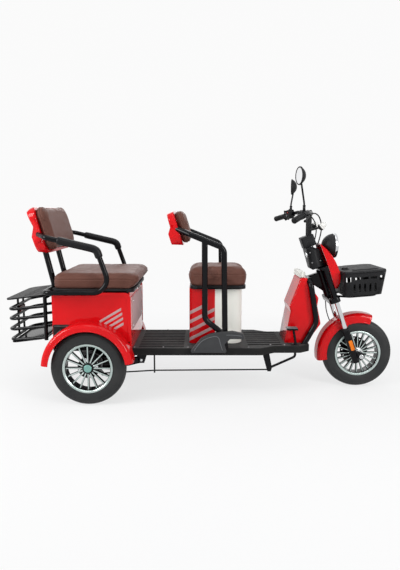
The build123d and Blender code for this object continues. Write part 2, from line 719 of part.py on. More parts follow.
hinge_driver = (DRIVER_BOX_FRONT + HINGE_R + 2, BODY_TOP - 10)
with BuildPart() as driver_column:
    with BuildSketch(Plane.XY.offset(box_z[0])) as outline:
        with Locations(((DRIVER_BOX_SPLIT + SEAT_GAP + DRIVER_BOX_FRONT) / 2, 0)):
            Rectangle(DRIVER_BOX_FRONT - DRIVER_BOX_SPLIT - SEAT_GAP, 2 * DRIVER_BOX_HALF)
        fillet(outline.vertices().group_by(Axis.X)[-1], 62)
    extrude(amount=box_z[1] - box_z[0])
    with BuildSketch(Plane.XY.offset(box_z[0])) as inside:
        with Locations(((DRIVER_BOX_SPLIT + DRIVER_BOX_FRONT - DRIVER_BOX_WALL) / 2, 0)):
            Rectangle(
                DRIVER_BOX_FRONT - DRIVER_BOX_SPLIT - DRIVER_BOX_WALL,
                2 * (DRIVER_BOX_HALF - DRIVER_BOX_WALL),
            )
        fillet(inside.vertices().group_by(Axis.X)[-1], 57)
    extrude(amount=box_z[1] - box_z[0], mode=Mode.SUBTRACT)
    knuckles(hinge_driver, DRIVER_BOX_FRONT - 2)
save(driver_column, "driver_column")

with BuildPart() as battery:
    block(
        (DRIVER_BOX_REAR + 24, DRIVER_BOX_FRONT - 70),
        (-DRIVER_BOX_HALF + 18, DRIVER_BOX_HALF - 18),
        (DECK_TOP + SEAT_GAP, DECK_TOP + 250),
    )
save(battery, "battery")

with BuildPart() as driver_seat_pan:
    with BuildSketch(Plane.XY.offset(pan_z[0])) as outline:
        with Locations(((DRIVER_SEAT_REAR + DRIVER_SEAT_FRONT) / 2, 0)):
            RectangleRounded(DRIVER_SEAT_FRONT - DRIVER_SEAT_REAR - 14, 2 * DRIVER_SEAT_HALF - 14, 40)
    extrude(amount=pan_z[1] - pan_z[0])
    block(
        (hinge_driver[0] - 3, hinge_driver[0] + 3),
        (-HINGE_HALF + 1, HINGE_HALF - 1),
        (hinge_driver[1], pan_z[0] + 1),
    )
    rod(
        (hinge_driver[0], -HINGE_HALF + 1, hinge_driver[1]),
        (hinge_driver[0], HINGE_HALF - 1, hinge_driver[1]),
        HINGE_R,
    )
save(driver_seat_pan, "driver_seat_pan")

with BuildPart() as driver_cushion:
    with BuildSketch(Plane.XY.offset(pan_z[1])) as outline:
        with Locations(((DRIVER_SEAT_REAR + DRIVER_SEAT_FRONT) / 2, 0)):
            RectangleRounded(DRIVER_SEAT_FRONT - DRIVER_SEAT_REAR, 2 * DRIVER_SEAT_HALF, 60)
    extrude(amount=DRIVER_CUSHION_H)
    fillet(driver_cushion.faces().sort_by(Axis.Z)[-1].edges(), 34)
save(driver_cushion, "driver_cushion")

# Driver seat frames: front leg with arm run, rear leg that bends forward into it
with BuildPart() as driver_frames:
    for side in (-1, 1):
        y = side * FRAME_TUBE_Y
        tube(
            [
                (RX + 476, side * 172, 952),
                (RX + 560, y, 920),
                (RX + 738, y, 848),
                (RX + 747, y, DECK_TOP + SEAT_GAP),
            ],
            FRAME_TUBE_R,
            [24, 45],
        )
        tube(
            [
                (RX + 633, y, 890),
                (RX + 633, y, 452),
                (RX + 745, y, 362),
            ],
            FRAME_TUBE_R,
            60,
        )
save(driver_frames, "driver_frames")

DRIVER_BACK = Plane(
    origin=(RX + 558, 0, 878),
    x_dir=(0, 1, 0),
    z_dir=(cos(radians(DRIVER_LEAN)), 0, sin(radians(DRIVER_LEAN))),
)
driver_back_h = 186.0
with BuildPart() as driver_back_pad:
    with BuildSketch(DRIVER_BACK) as outline:
        with Locations((0, driver_back_h / 2)):
            RectangleRounded(330, driver_back_h, 60)
    extrude(amount=-46)
    fillet(driver_back_pad.faces().sort_by(Axis.X)[-1].edges(), 20)
save(driver_back_pad, "driver_back_pad")

parting = DRIVER_BACK.offset(-46 - SEAT_GAP)
foot, head = (parting.from_local_coords(Vector(0, rise, 0)) for rise in (-4, driver_back_h + 2))
with BuildPart() as driver_back_shell:
    side_plate(
        [
            (foot.X, foot.Z),
            (head.X, head.Z),
            (RX + 440, 1058),
            (RX + 417, 1047),
            (RX + 442, 960),
            (RX + 431, 923),
            (RX + 449, 864),
        ],
        -200,
        200,
    )
    with BuildSketch(parting) as outline:
        with Locations((0, driver_back_h / 2)):
            RectangleRounded(380, driver_back_h + 16, 66)
    extrude(amount=-90, taper=9, mode=Mode.INTERSECT)
    add(driver_frames.part, mode=Mode.SUBTRACT)
save(driver_back_shell, "driver_back_shell")

# Foot covers: moulded domes outside the frame tubes, with a forward hooked arm
with BuildPart() as foot_covers:
    for side in (-1, 1):
        inner = FRAME_TUBE_Y + FRAME_TUBE_R + 1
        y_low, y_high = sorted((side * inner, side * (inner + 25)))
        side_plate(
            [
                (RX + 546, 270),
                (RX + 756, 270),
                (RX + 742, 318),
                (RX + 772, 348),
                (RX + 854, 348),
                (RX + 842, 381),
                (RX + 786, 392),
                (RX + 724, 389),
                (RX + 662, 378),
                (RX + 612, 352),
            ],
            y_low,
            y_high,
            rounding=9,
        )
        fillet(foot_covers.faces().sort_by(Axis.Y)[0 if side < 0 else -1].edges(), 6)
        near, far = sorted((side * (DECK_HALF + SEAT_GAP), side * (FRAME_TUBE_Y + FRAME_TUBE_R + 2)))
        block((RX + 560, RX + 740), (near, far), (272, 286))
save(foot_covers, "foot_covers")

# Leg shield tower with its top cap
SHIELD_HALF = RAIL_Y - RAIL_R - 3.0
with BuildPart() as leg_shield:
    side_plate(
        [
            (FX - 456, DECK_TOP - 30),
            (FX - 419, 473),
            (FX - 427, 502),
            (FX - 373, 648),
            (FX - 369, 668),
            (FX - 318, 668),
            (FX - 302, 612),
            (FX - 259, 552),
            (FX - 265, 506),
            (FX - 242, 400),
            (FX - 339, DECK_TOP - 30),
        ],
        -SHIELD_HALF,
        SHIELD_HALF,
        rounding=18,
    )
    for end in (0, -1):
        fillet(leg_shield.faces().sort_by(Axis.Y)[end].edges(), 13)
    below_floor = (200, DECK_TOP + SEAT_GAP)
    block((FX - 500, FX - 200), (-SHIELD_HALF - 1, SHIELD_HALF + 1), below_floor, mode=Mode.SUBTRACT)
    tube(frame_loop, RAIL_R + 2, frame_bends, mode=Mode.SUBTRACT)
save(leg_shield, "leg_shield")

with BuildPart() as shield_cap:
    side_plate(
        [
            (FX - 372, 668 + SEAT_GAP),
            (FX - 368, 703),
            (FX - 340, 703),
            (FX - 337, 668 + SEAT_GAP),
        ],
        -SHIELD_HALF + 14,
        SHIELD_HALF - 14,
        rounding=6,
    )
save(shield_cap, "shield_cap")

# Foot brake: pedal, lever under the floor on its pivot, and the rod back to the rear drum
with BuildPart() as brake_pedal:
    block((FX - 449, FX - 387), (pedal_y - 18, pedal_y + 38), (DECK_TOP + 88, DECK_TOP + 98))
    tube(
        [
            (FX - 412, pedal_y, DECK_TOP + 92),
            (FX - 398, pedal_y, DECK_TOP + 20),
            (FX - 398, pedal_y, 222),
            (pivot[0], pedal_y, pivot[1]),
        ],
        7,
        [20, 20],
    )
    rod((pivot[0], pedal_y - 8, pivot[1]), (pivot[0], pedal_y + 8, pivot[1]), 14)
    tube([(pivot[0], pedal_y, pivot[1] - 9), (hanger_x, pedal_y, 140), (RX + 62, -DRUM_Y + 12.5, 132)], 4, 300)
    rod((pivot[0], pedal_y - 20, pivot[1]), (pivot[0], pedal_y + 20, pivot[1]), 6.1, mode=Mode.SUBTRACT)
save(brake_pedal, "brake_pedal")

# Tail lamp held between the two rear bars of the rack
lamp_half = REAR_BAR_Y - REAR_BAR_R - SEAT_GAP
with BuildPart() as tail_lamp:
    block((RX - REAR_REACH + 4, RX - REAR_REACH + 22), (-lamp_half, lamp_half), (460, 494))
    block((RX - REAR_REACH, RX - REAR_REACH + 5), (-lamp_half + 5, lamp_half - 5), (465, 489))
save(tail_lamp, "tail_lamp")

# Fork: crowns, steerer and upper tubes; bright stanchions; lower legs with axle lugs
crown_low = HEAD_BOTTOM - 5
crown_high = HEAD_TOP + 5
with BuildPart() as fork_crown:
    with BuildSketch(STEER.offset(crown_low - 28)) as plate:
        with Locations((FORK_LEAD / 2 + 2, 0)):
            RectangleRounded(64, 2 * FORK_Y + 50, 24)
    extrude(amount=28)
    with BuildSketch(STEER.offset(crown_high)) as plate:
        with Locations((FORK_LEAD / 2, 0)):
            RectangleRounded(52, 2 * FORK_Y + 40, 22)
    extrude(amount=16)
    with BuildSketch(STEER.offset(crown_low - 1)):
        Circle(STEERER_R)
    extrude(amount=crown_high - crown_low + 2)
    for side in (-1, 1):
        with BuildSketch(STEER.offset(crown_low - 1)):
            with Locations((FORK_LEAD, side * FORK_Y)):
                Circle(FORK_UPPER_R)
        extrude(amount=crown_high - crown_low + 2)
save(fork_crown, "fork_crown")

leg_top = crown_low - 28 - 170
with BuildPart() as fork_stanchions:
    for side in (-1, 1):
        with BuildSketch(STEER.offset(leg_top - 20)):
            with Locations((FORK_LEAD, side * FORK_Y)):
                Circle(STANCHION_R)
        extrude(amount=crown_low - 28 - SEAT_GAP - leg_top + 20)
save(fork_stanchions, "fork_stanchions")

leg_bottom = AXLE_DROP - 30
with BuildPart() as fork_legs:
    for side in (-1, 1):
        with BuildSketch(STEER.offset(leg_bottom)):
            with Locations((FORK_LEAD, side * FORK_Y)):
                Circle(LEG_R)
        extrude(amount=leg_top - leg_bottom)
        rod((FX, side * (FORK_Y - LEG_R + 2), AXLE_Z), (FX, side * (FORK_Y + LEG_R - 2), AXLE_Z), 21)
    side_plate(
        [
            (FX - 64, AXLE_Z + 14),
            (FX - 95, AXLE_Z + 40),
            (FX - 56, AXLE_Z + 87),
            (FX - 25, AXLE_Z + 61),
        ],
        32,
        72,
        rounding=7,
    )
    rod((FX, 40.5, AXLE_Z), (FX, 55.5, AXLE_Z), DISC_R + 5.5, mode=Mode.SUBTRACT)
    for side in (-1, 1):
        near, far = (FX, side * (FORK_Y - 40), AXLE_Z), (FX, side * (FORK_Y + 40), AXLE_Z)
        rod(near, far, FRONT_AXLE_R + 0.1, mode=Mode.SUBTRACT)
        with BuildSketch(STEER.offset(leg_top - 21)):
            with Locations((FORK_LEAD, side * FORK_Y)):
                Circle(STANCHION_R + 0.1)
        extrude(amount=30, mode=Mode.SUBTRACT)
save(fork_legs, "fork_legs")

with BuildPart() as front_axle:
    rod((FX, -FORK_Y - 26, AXLE_Z), (FX, FORK_Y + 26, AXLE_Z), FRONT_AXLE_R)
    for side in (-1, 1):
        rod((FX, side * (FORK_Y + LEG_R - 1.5), AXLE_Z), (FX, side * (FORK_Y + LEG_R + 10), AXLE_Z), 13)
    rod((FX, FORK_Y - LEG_R + 1.5, AXLE_Z), (FX, 52, AXLE_Z), 12)
    rod((FX, -FORK_Y + LEG_R - 1.5, AXLE_Z), (FX, -36, AXLE_Z), 12)
save(front_axle, "front_axle")

# Front guard: crown and side skirts round the tyre
guard_start = 72.0
guard_sweep = 118.0
with BuildPart() as front_guard:
    plane = Plane(
        origin=(FX, 0, AXLE_Z),
        x_dir=(0, 1, 0),
        z_dir=(sin(radians(guard_start)), 0, -cos(radians(guard_start))),
    )
    with BuildSketch(plane):
        with BuildLine():
            FilletPolyline(
                (-GUARD_HALF, 190),
                (-GUARD_HALF, GUARD_R),
                (GUARD_HALF, GUARD_R),
                (GUARD_HALF, 190),
                (GUARD_HALF - PANEL, 190),
                (GUARD_HALF - PANEL, GUARD_R - PANEL),
                (-GUARD_HALF + PANEL, GUARD_R - PANEL),
                (-GUARD_HALF + PANEL, 190),
                radius=[28, 28, 0, 0, 24, 24],
            )
            Line((-GUARD_HALF + PANEL, 190), (-GUARD_HALF, 190))
        make_face()
    revolve(axis=Axis((FX, 0, AXLE_Z), (0, -1, 0)), revolution_arc=guard_sweep)
    for side in (-1, 1):
        side_plate(
            [
                (FX - 108, AXLE_Z + 178),
                (FX - 100, AXLE_Z + 136),
                (FX - 76, AXLE_Z + 136),
                (FX - 70, AXLE_Z + 196),
            ],
            *sorted((side * (GUARD_HALF - 2), side * (FORK_Y - LEG_R - 0.2))),
        )
save(front_guard, "front_guard")

# Steering cover over the upper crown, and the red shield ahead of the fork
cover_low = crown_high + 16 + SEAT_GAP
cover_high = 160.0
with BuildPart() as steering_cover:
    with BuildSketch(STEER_SIDE.offset(-62)) as outline:
        Polygon((-53, cover_low), (24, cover_low), (24, 128), (-12, cover_high), (-46, cover_high), align=None)
        fillet(outline.vertices(), 6)
    extrude(amount=124)
save(steering_cover, "steering_cover")

STEER_FRONT = Plane(origin=STEER.origin, x_dir=(0, 1, 0), z_dir=STEER.x_dir)


def shield_form(inset):
    """Solid bounded by the head shield's side profile and front outline, drawn in by an inset."""
    with BuildPart() as form:
        with BuildSketch(STEER_SIDE.offset(-100)):
            with BuildLine():
                Line((35 - inset / 8, -118 + inset), (35 - inset / 8, 162 - inset))
                ThreePointArc((35 - inset / 8, 162 - inset), (78 - inset, 60), (86 - inset, -20))
                ThreePointArc((86 - inset, -20), (78 - inset, -82 + inset / 2), (52 - inset / 2, -122 + inset))
                Line((52 - inset / 2, -122 + inset), (35 - inset / 8, -118 + inset))
            make_face()
        extrude(amount=200)
        with BuildSketch(STEER_FRONT) as front:
            Polygon(
                (-66 + inset, 175),
                (66 - inset, 175),
                (93 - inset, 70),
                (93 - inset, -30),
                (60 - inset, -135),
                (-60 + inset, -135),
                (-93 + inset, -30),
                (-93 + inset, 70),
                align=None,
            )
            fillet(front.vertices(), 24)
        extrude(amount=120, mode=Mode.INTERSECT)
    return form.part


shield_outside, shield_inside = shield_form(0), shield_form(7)
with BuildPart() as head_shield:
    add(shield_outside)
    add(shield_inside, mode=Mode.SUBTRACT)
save(head_shield, "head_shield")

# Head lamp
LAMP = (FX - 160.0, 0, 848.0)
LAMP_R = 70.0
LAMP_PLANE = Plane(origin=LAMP, x_dir=(0, 0, 1), z_dir=(0, 1, 0))
with BuildPart() as headlamp:
    with BuildSketch(LAMP_PLANE):
        with BuildLine():
            Line((0, 0), (0, -LAMP_R))
            ThreePointArc((0, -LAMP_R), (LAMP_R * sin(radians(45)), -LAMP_R * sin(radians(45))), (LAMP_R, 0))
            Line((LAMP_R, 0), (0, 0))
        make_face()
    revolve(axis=Axis(LAMP, (1, 0, 0)))
    add(shield_outside, mode=Mode.SUBTRACT)
save(headlamp, "headlamp")

with BuildPart() as headlamp_lens:
    with BuildSketch(LAMP_PLANE):
        with BuildLine():
            Line((0, SEAT_GAP), (LAMP_R - 2, SEAT_GAP))
            Line((LAMP_R - 2, SEAT_GAP), (LAMP_R - 2, 8))
            dome(LAMP_R - 2, 8, 28)
            Line((0, 28), (0, SEAT_GAP))
        make_face()
    revolve(axis=Axis(LAMP, (1, 0, 0)))
save(headlamp_lens, "headlamp_lens")

# Stem block, handlebar, grips and hand controls
bar_mid = (FX - 308.0, 1035.0)
with BuildPart() as stem:
    with BuildSketch(STEER.offset(cover_high + SEAT_GAP)) as plate:
        with Locations((-16, 0)):
            RectangleRounded(78, 84, 14)
    extrude(amount=62)
    stem_foot = steered(0, 0, cover_high + 60)
    rod((stem_foot[0], 0, stem_foot[2]), (bar_mid[0], 0, bar_mid[1] - BAR_R + 2), 17)
save(stem, "stem")

grip_end = (FX - 450.0, 322.0, 1000.0)
bar_shoulder = (bar_mid[0] - 38, 150.0, 1042.0)
with BuildPart() as handlebar:
    tube(
        [
            (grip_end[0], -grip_end[1], grip_end[2]),
            (bar_shoulder[0], -bar_shoulder[1], bar_shoulder[2]),
            (bar_mid[0], -70, bar_mid[1]),
            (bar_mid[0], 70, bar_mid[1]),
            (bar_shoulder[0], bar_shoulder[1], bar_shoulder[2]),
            (grip_end[0], grip_end[1], grip_end[2]),
        ],
        BAR_R,
        [70, 60, 60, 70],
    )
    add(stem.part, mode=Mode.SUBTRACT)
save(handlebar, "handlebar")

grip_run = (Vector(*bar_shoulder) - Vector(*grip_end)).normalized()
with BuildPart() as grips:
    for side in (-1, 1):
        run = Vector(grip_run.X, side * grip_run.Y, grip_run.Z)
        end = Vector(grip_end[0], side * grip_end[1], grip_end[2])
        rod(tuple(end - run * 8), tuple(end + run * GRIP_L), GRIP_R)
    for side in (-1, 1):
        run = Vector(grip_run.X, side * grip_run.Y, grip_run.Z)
        end = Vector(grip_end[0], side * grip_end[1], grip_end[2])
        rod(tuple(end), tuple(end + run * (GRIP_L + 20)), BAR_R + 0.1, mode=Mode.SUBTRACT)
save(grips, "grips")

with BuildPart() as hand_controls:
    for side in (-1, 1):
        run = Vector(grip_run.X, side * grip_run.Y, grip_run.Z)
        end = Vector(grip_end[0], side * grip_end[1], grip_end[2])
        start = end + run * (GRIP_L + 4)
        rod(tuple(start), tuple(start + run * 42), 20)
        tip = end + Vector(48, 0, -8) + run * 20
        root = start + run * 16 + Vector(20, 0, 0)
        tube([tuple(start + run * 16), tuple(root + Vector(16, 0, -2)), tuple(tip)], 5, 12)
    for side in (-1, 1):
        run = Vector(grip_run.X, side * grip_run.Y, grip_run.Z)
        end = Vector(grip_end[0], side * grip_end[1], grip_end[2])
        start = end + run * GRIP_L
        rod(tuple(start), tuple(start + run * 60), BAR_R + 0.1, mode=Mode.SUBTRACT)
save(hand_controls, "hand_controls")

# Mirrors: stems up from the hand controls, each head set for the rider
MIRRORS = [
    # side, head x, head y, head z
    (-1, FX - 416.0, -276.0, 1232.0),
    (1, FX - 357.0, 276.0, 1200.0),
]
MIRROR_R = 48.0
MIRROR_TOE = radians(13)
with BuildPart() as mirrors:
    for side, head_x, head_y, head_z in MIRRORS:
        run = Vector(grip_run.X, side * grip_run.Y, grip_run.Z)
        foot = Vector(grip_end[0], side * grip_end[1], grip_end[2]) + run * (GRIP_L + 26) + Vector(0, 0, 21.5)
        tube([tuple(foot), tuple(foot + Vector(0, 0, 40)), (head_x + 4, head_y, head_z - 32)], 5, 30)
        ahead = (cos(MIRROR_TOE), -side * sin(MIRROR_TOE), 0)
        across = (side * sin(MIRROR_TOE), cos(MIRROR_TOE), 0)
        with BuildSketch(Plane(origin=(head_x, head_y, head_z), x_dir=(0, 0, 1), z_dir=across)):
            with BuildLine():
                Line((0, -8), (0, 26))
                dome(MIRROR_R, -8, 26)
                Line((MIRROR_R, -8), (0, -8))
            make_face()
        revolve(axis=Axis((head_x, head_y, head_z), ahead))
save(mirrors, "mirrors")

with BuildPart() as indicators:
    for side in (-1, 1):
        root = steered(14, side * 8, 250)
        tip = steered(62, side * 92, 252)
        rod(root, tip, 7)
        with Locations(tip):
            Sphere(23)
    add(stem.part, mode=Mode.SUBTRACT)
save(indicators, "indicators")

# Basket on the steering: tapered tub on a wire carrier, and a lid hinged along its front edge
BASKET = Plane(
    origin=(FX - 121, 0, 562),
    x_dir=(cos(radians(BASKET_TILT)), 0, sin(radians(BASKET_TILT))),
    z_dir=(-sin(radians(BASKET_TILT)), 0, cos(radians(BASKET_TILT))),
)
foot_x = (8.0, 222.0)
rim_x = (6.0, 246.0)
lid_hinge = (rim_x[1] + HINGE_R + 1.5, BASKET_H + SEAT_GAP)
BASKET_SLOTS = [
    # centre along, across and up the basket, size along, across and up
    *[(60 + 30 * place, 0, 46, 11, 340, 48) for place in range(5)],
    *[(28 + 186 * place, 0, 98, 26, 340, 28) for place in range(2)],
    *[(75 + 46 * place, 0, 102, 36, 340, 13) for place in range(3)],
    *[(236, 32 * place, 46, 60, 11, 48) for place in range(-3, 4)],
    *[(240, 64 * place, 98, 60, 40, 20) for place in range(-1, 2)],
    *[(12, 32 * place, 46, 60, 11, 48) for place in range(-3, 4)],
]
with BuildPart() as basket:
    for inset, base, mode in ((0.0, 0.0, Mode.ADD), (BASKET_WALL, BASKET_WALL, Mode.SUBTRACT)):
        with BuildSketch(BASKET.offset(base)) as bottom:
            with Locations((sum(foot_x) / 2, 0)):
                RectangleRounded(foot_x[1] - foot_x[0] - 2 * inset, 2 * (BASKET_HALF - 24 - inset), 26)
        with BuildSketch(BASKET.offset(BASKET_H + (0.01 if inset else 0))) as top:
            with Locations((sum(rim_x) / 2, 0)):
                RectangleRounded(rim_x[1] - rim_x[0] - 2 * inset, 2 * (BASKET_HALF - inset), 30)
        loft(mode=mode)
    for along, across, up, size_x, size_y, size_z in BASKET_SLOTS:
        with Locations(BASKET.offset(up) * Pos(along, across, 0)):
            Box(size_x, size_y, size_z, mode=Mode.SUBTRACT)
    for side in (-1, 1):
        near, far = side * (HINGE_HALF + SEAT_GAP), side * (HINGE_HALF + 18)
        lug = BASKET.from_local_coords(Vector(lid_hinge[0] - 5, (near + far) / 2, lid_hinge[1] - 6))
        with Locations(Plane(origin=lug, x_dir=BASKET.x_dir, z_dir=BASKET.z_dir)):
            Box(10, 17, 8)
        ends = [tuple(BASKET.from_local_coords(Vector(lid_hinge[0], y, lid_hinge[1]))) for y in (near, far)]
        rod(ends[0], ends[1], HINGE_R)
save(basket, "basket")

with BuildPart() as basket_carrier:
    carrier_z = -6 - SEAT_GAP
    points = [(-13, -50), (40, -100), (200, -100), (200, 100), (40, 100), (-13, 50)]
    tube([tuple(BASKET.from_local_coords(Vector(px, py, carrier_z))) for px, py in points], 6, [30, 40, 40, 30])
    add(fork_crown.part, mode=Mode.SUBTRACT)
save(basket_carrier, "basket_carrier")

with BuildPart() as basket_lid:
    with BuildSketch(BASKET.offset(BASKET_H + SEAT_GAP)) as outline:
        with Locations((sum(rim_x) / 2 - 1.5, 0)):
            RectangleRounded(rim_x[1] - rim_x[0] + 3, 2 * BASKET_HALF + 6, 32)
    extrude(amount=14)
    fillet(basket_lid.faces().sort_by(Axis(BASKET.origin, BASKET.z_dir))[-1].edges(), 8)
    with BuildSketch(BASKET.offset(BASKET_H + SEAT_GAP + 14)):
        with Locations((sum(rim_x) / 2 + 8, 0)):
            RectangleRounded(rim_x[1] - rim_x[0] - 76, 2 * BASKET_HALF - 56, 30)
    extrude(amount=5, taper=45)
    with BuildSketch(BASKET.offset(BASKET_H + SEAT_GAP + 12)):
        with Locations((rim_x[0] + 30, 0)):
            RectangleRounded(44, 96, 14)
    extrude(amount=13, taper=20)
    tongue = BASKET.from_local_coords(Vector(lid_hinge[0] - 6, 0, lid_hinge[1] + 2.5))
    with Locations(Plane(origin=tongue, x_dir=BASKET.x_dir, z_dir=BASKET.z_dir)):
        Box(12, 2 * HINGE_HALF - 2, 5)
    barrel = [Vector(lid_hinge[0], side * (HINGE_HALF - 1), lid_hinge[1]) for side in (-1, 1)]
    rod(*[tuple(BASKET.from_local_coords(end)) for end in barrel], HINGE_R)
save(basket_lid, "basket_lid")
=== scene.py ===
# %% [markdown]
# # An electric passenger tricycle
# A three-wheeler with a driver's seat, a wide bench behind it, a wire rack at the back and a lidded
# basket over the front wheel. The imported model gives every hard piece at its real place. This script
# adds what makes it look real: paint, leather, rubber, treads, padding, stripes, lamps and fasteners.

# %% Load the imported model, with helpers for its parts
import json
from math import cos, exp, pi, radians, sin

import bmesh
import bpy
from mathutils import Matrix, Vector


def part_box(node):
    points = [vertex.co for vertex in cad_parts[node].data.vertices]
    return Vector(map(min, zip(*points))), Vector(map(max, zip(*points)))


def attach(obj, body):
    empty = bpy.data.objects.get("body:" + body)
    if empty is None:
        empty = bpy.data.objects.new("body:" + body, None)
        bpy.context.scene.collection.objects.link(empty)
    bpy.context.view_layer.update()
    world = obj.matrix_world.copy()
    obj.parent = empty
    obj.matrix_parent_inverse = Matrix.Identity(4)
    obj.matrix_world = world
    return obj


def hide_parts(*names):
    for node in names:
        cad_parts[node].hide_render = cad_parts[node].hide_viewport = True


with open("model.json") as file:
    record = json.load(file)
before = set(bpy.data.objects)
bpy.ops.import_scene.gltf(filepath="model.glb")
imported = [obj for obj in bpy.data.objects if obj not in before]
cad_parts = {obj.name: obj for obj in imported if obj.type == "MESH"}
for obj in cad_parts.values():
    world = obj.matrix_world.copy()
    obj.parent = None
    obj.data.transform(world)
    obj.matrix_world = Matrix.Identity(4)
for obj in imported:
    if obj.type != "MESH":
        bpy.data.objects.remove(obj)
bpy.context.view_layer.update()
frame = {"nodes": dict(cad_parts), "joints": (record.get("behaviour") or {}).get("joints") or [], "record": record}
scene = bpy.context.scene
nodes = frame["nodes"]
joints = {joint["name"]: joint for joint in frame["joints"]}

# %% [markdown]
# ## Where things are
# The rear axle and the ground under it are the handiest zero on a vehicle, because every length on a
# data sheet is read from an axle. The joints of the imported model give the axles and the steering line,
# so nothing here has to be typed twice. `at` turns millimetres from the rear axle into scene metres.

# %% Axles, steering line and the two helpers that place things
MM = 0.001
REAR_X = joints["rear_wheel_right_spin"]["pos_m"][0]
AXLE_Z = joints["rear_wheel_right_spin"]["pos_m"][2]
FRONT_X = joints["front_wheel_spin"]["pos_m"][0]
HEAD = Vector(joints["steering_turn"]["pos_m"])
STEER_UP = Vector(joints["steering_turn"]["axis"]).normalized()
STEER_AHEAD = Vector((STEER_UP.z, 0, -STEER_UP.x))
WHEELBASE = round((FRONT_X - REAR_X) / MM)


def at(x, y, z):
    """Scene point from millimetres ahead of the rear axle, to the left, and above the ground."""
    return Vector((REAR_X + x * MM, y * MM, z * MM))


def steered(ahead, left, rise):
    """Scene point from millimetres ahead of the steering line, to the left, and up along the line."""
    return HEAD + STEER_AHEAD * ahead * MM + Vector((0, left * MM, 0)) + STEER_UP * rise * MM


print("wheelbase", round(FRONT_X - REAR_X, 3), "m, axle height", round(AXLE_Z, 3), "m")

# %% [markdown]
# ## The camera
# The photograph was taken from the vehicle's right side, at the height of the handlebar and three metres
# off. A camera is easiest to match by its real place: its distance sets how much the near wheel
# outgrows the far one, and only then does the lens set the size in the frame.

# %% Camera at the photographer's place
CAMERA_PLACE = Vector((-0.0346, -3.0144, 1.046))
CAMERA_PITCH = 8.05
camera_data = bpy.data.cameras.new("camera")
camera_data.sensor_width = 36.0
camera_data.lens = 32.35
camera_data.shift_y = -1 / 570
camera = bpy.data.objects.new("camera", camera_data)
camera.location = CAMERA_PLACE
camera.rotation_euler = (radians(90 - CAMERA_PITCH), 0, 0)
scene.collection.objects.link(camera)
scene.camera = camera
scene.view_settings.view_transform = "Standard"
print("camera", tuple(round(value, 3) for value in CAMERA_PLACE), "lens", camera_data.lens)

# %% [markdown]
# ## Studio
# The picture is a cut-out on near-white paper. A world that shows that white only to the camera, to
# mirrors and to glass gives the paper, and a dimmer one lights the paint, so that colours stay as they
# are written. Two small helpers build the node trees: one adds a node, the other sets or links sockets.

# %% World
PAPER = (0.96, 0.96, 0.96, 1)
DAYLIGHT = (0.9, 0.95, 1.0, 1)
DAYLIGHT_STRENGTH = 0.26


def feed(tree, node, sockets):
    """Sets input sockets of a node, or links those that are given another node's socket."""
    for key, value in sockets.items():
        if isinstance(value, bpy.types.NodeSocket):
            tree.links.new(value, node.inputs[key])
        else:
            node.inputs[key].default_value = value


def add(tree, kind, sockets=None, **settings):
    """A new shader node with its settings made and its input sockets fed."""
    node = tree.nodes.new("ShaderNode" + kind)
    for key, value in settings.items():
        setattr(node, key, value)
    feed(tree, node, sockets or {})
    return node


def seen_directly(tree):
    """Socket that is 1 for camera, mirror and glass rays and 0 for the light that falls on things."""
    rays = add(tree, "LightPath").outputs
    glossy = add(tree, "Math", {0: rays["Is Camera Ray"], 1: rays["Is Glossy Ray"]}, operation="MAXIMUM")
    either = add(tree, "Math", {0: glossy.outputs[0], 1: rays["Is Transmission Ray"]}, operation="MAXIMUM")
    return either.outputs[0]


world = bpy.data.worlds.new("studio")
world.use_nodes = True
scene.world = world
sky = world.node_tree
daylight = sky.nodes["Background"]
feed(sky, daylight, {"Color": DAYLIGHT, "Strength": DAYLIGHT_STRENGTH})
paper = add(sky, "Background", {"Color": PAPER})
backdrop = add(sky, "MixShader", {"Fac": seen_directly(sky), 1: daylight.outputs[0], 2: paper.outputs[0]})
feed(sky, sky.nodes["World Output"], {"Surface": backdrop.outputs[0]})
print("paper white", PAPER[0], "daylight", DAYLIGHT_STRENGTH)

# %% [markdown]
# The floor glows with the same white away from the vehicle. Close to it a share of plain matt paint is
# mixed in, which takes the soft shadow. The distance from the middle of the floor sets the share.

# %% Floor that fades into the paper
FLOOR_HALF = 30.0
NEAR, FAR = 0.9, 2.4
floor_shape = bmesh.new()
bmesh.ops.create_grid(floor_shape, x_segments=2, y_segments=2, size=FLOOR_HALF)
floor_mesh = bpy.data.meshes.new("floor")
floor_shape.to_mesh(floor_mesh)
floor_shape.free()
floor = bpy.data.objects.new("floor", floor_mesh)
scene.collection.objects.link(floor)
floor_paint = bpy.data.materials.new("floor_paint")
floor_paint.use_nodes = True
tree = floor_paint.node_tree
matt = tree.nodes["Principled BSDF"]
feed(tree, matt, {"Base Color": (0.86, 0.86, 0.86, 1), "Roughness": 0.9})
glow = add(tree, "Emission", {"Color": PAPER})
away = add(tree, "VectorMath", {0: add(tree, "TexCoord").outputs["Object"]}, operation="LENGTH")
span = {"From Min": NEAR, "From Max": FAR, "To Min": 0.72, "To Max": 1.0}
fade = add(tree, "MapRange", {"Value": away.outputs["Value"]} | span)
direct = add(tree, "Math", {0: fade.outputs["Result"], 1: seen_directly(tree)}, operation="MULTIPLY")
soft_floor = add(tree, "MixShader", {"Fac": direct.outputs[0], 1: matt.outputs[0], 2: glow.outputs[0]})
feed(tree, tree.nodes["Material Output"], {"Surface": soft_floor.outputs[0]})
floor_mesh.materials.append(floor_paint)
print("floor fades from", NEAR, "to", FAR, "m")

# %% [markdown]
# Two large boxes at the sides carry the light: they are what gloss paint and black tubes show as long
# highlights. The box and the strip overhead only lift the tops, and the box behind serves the views
# from there.

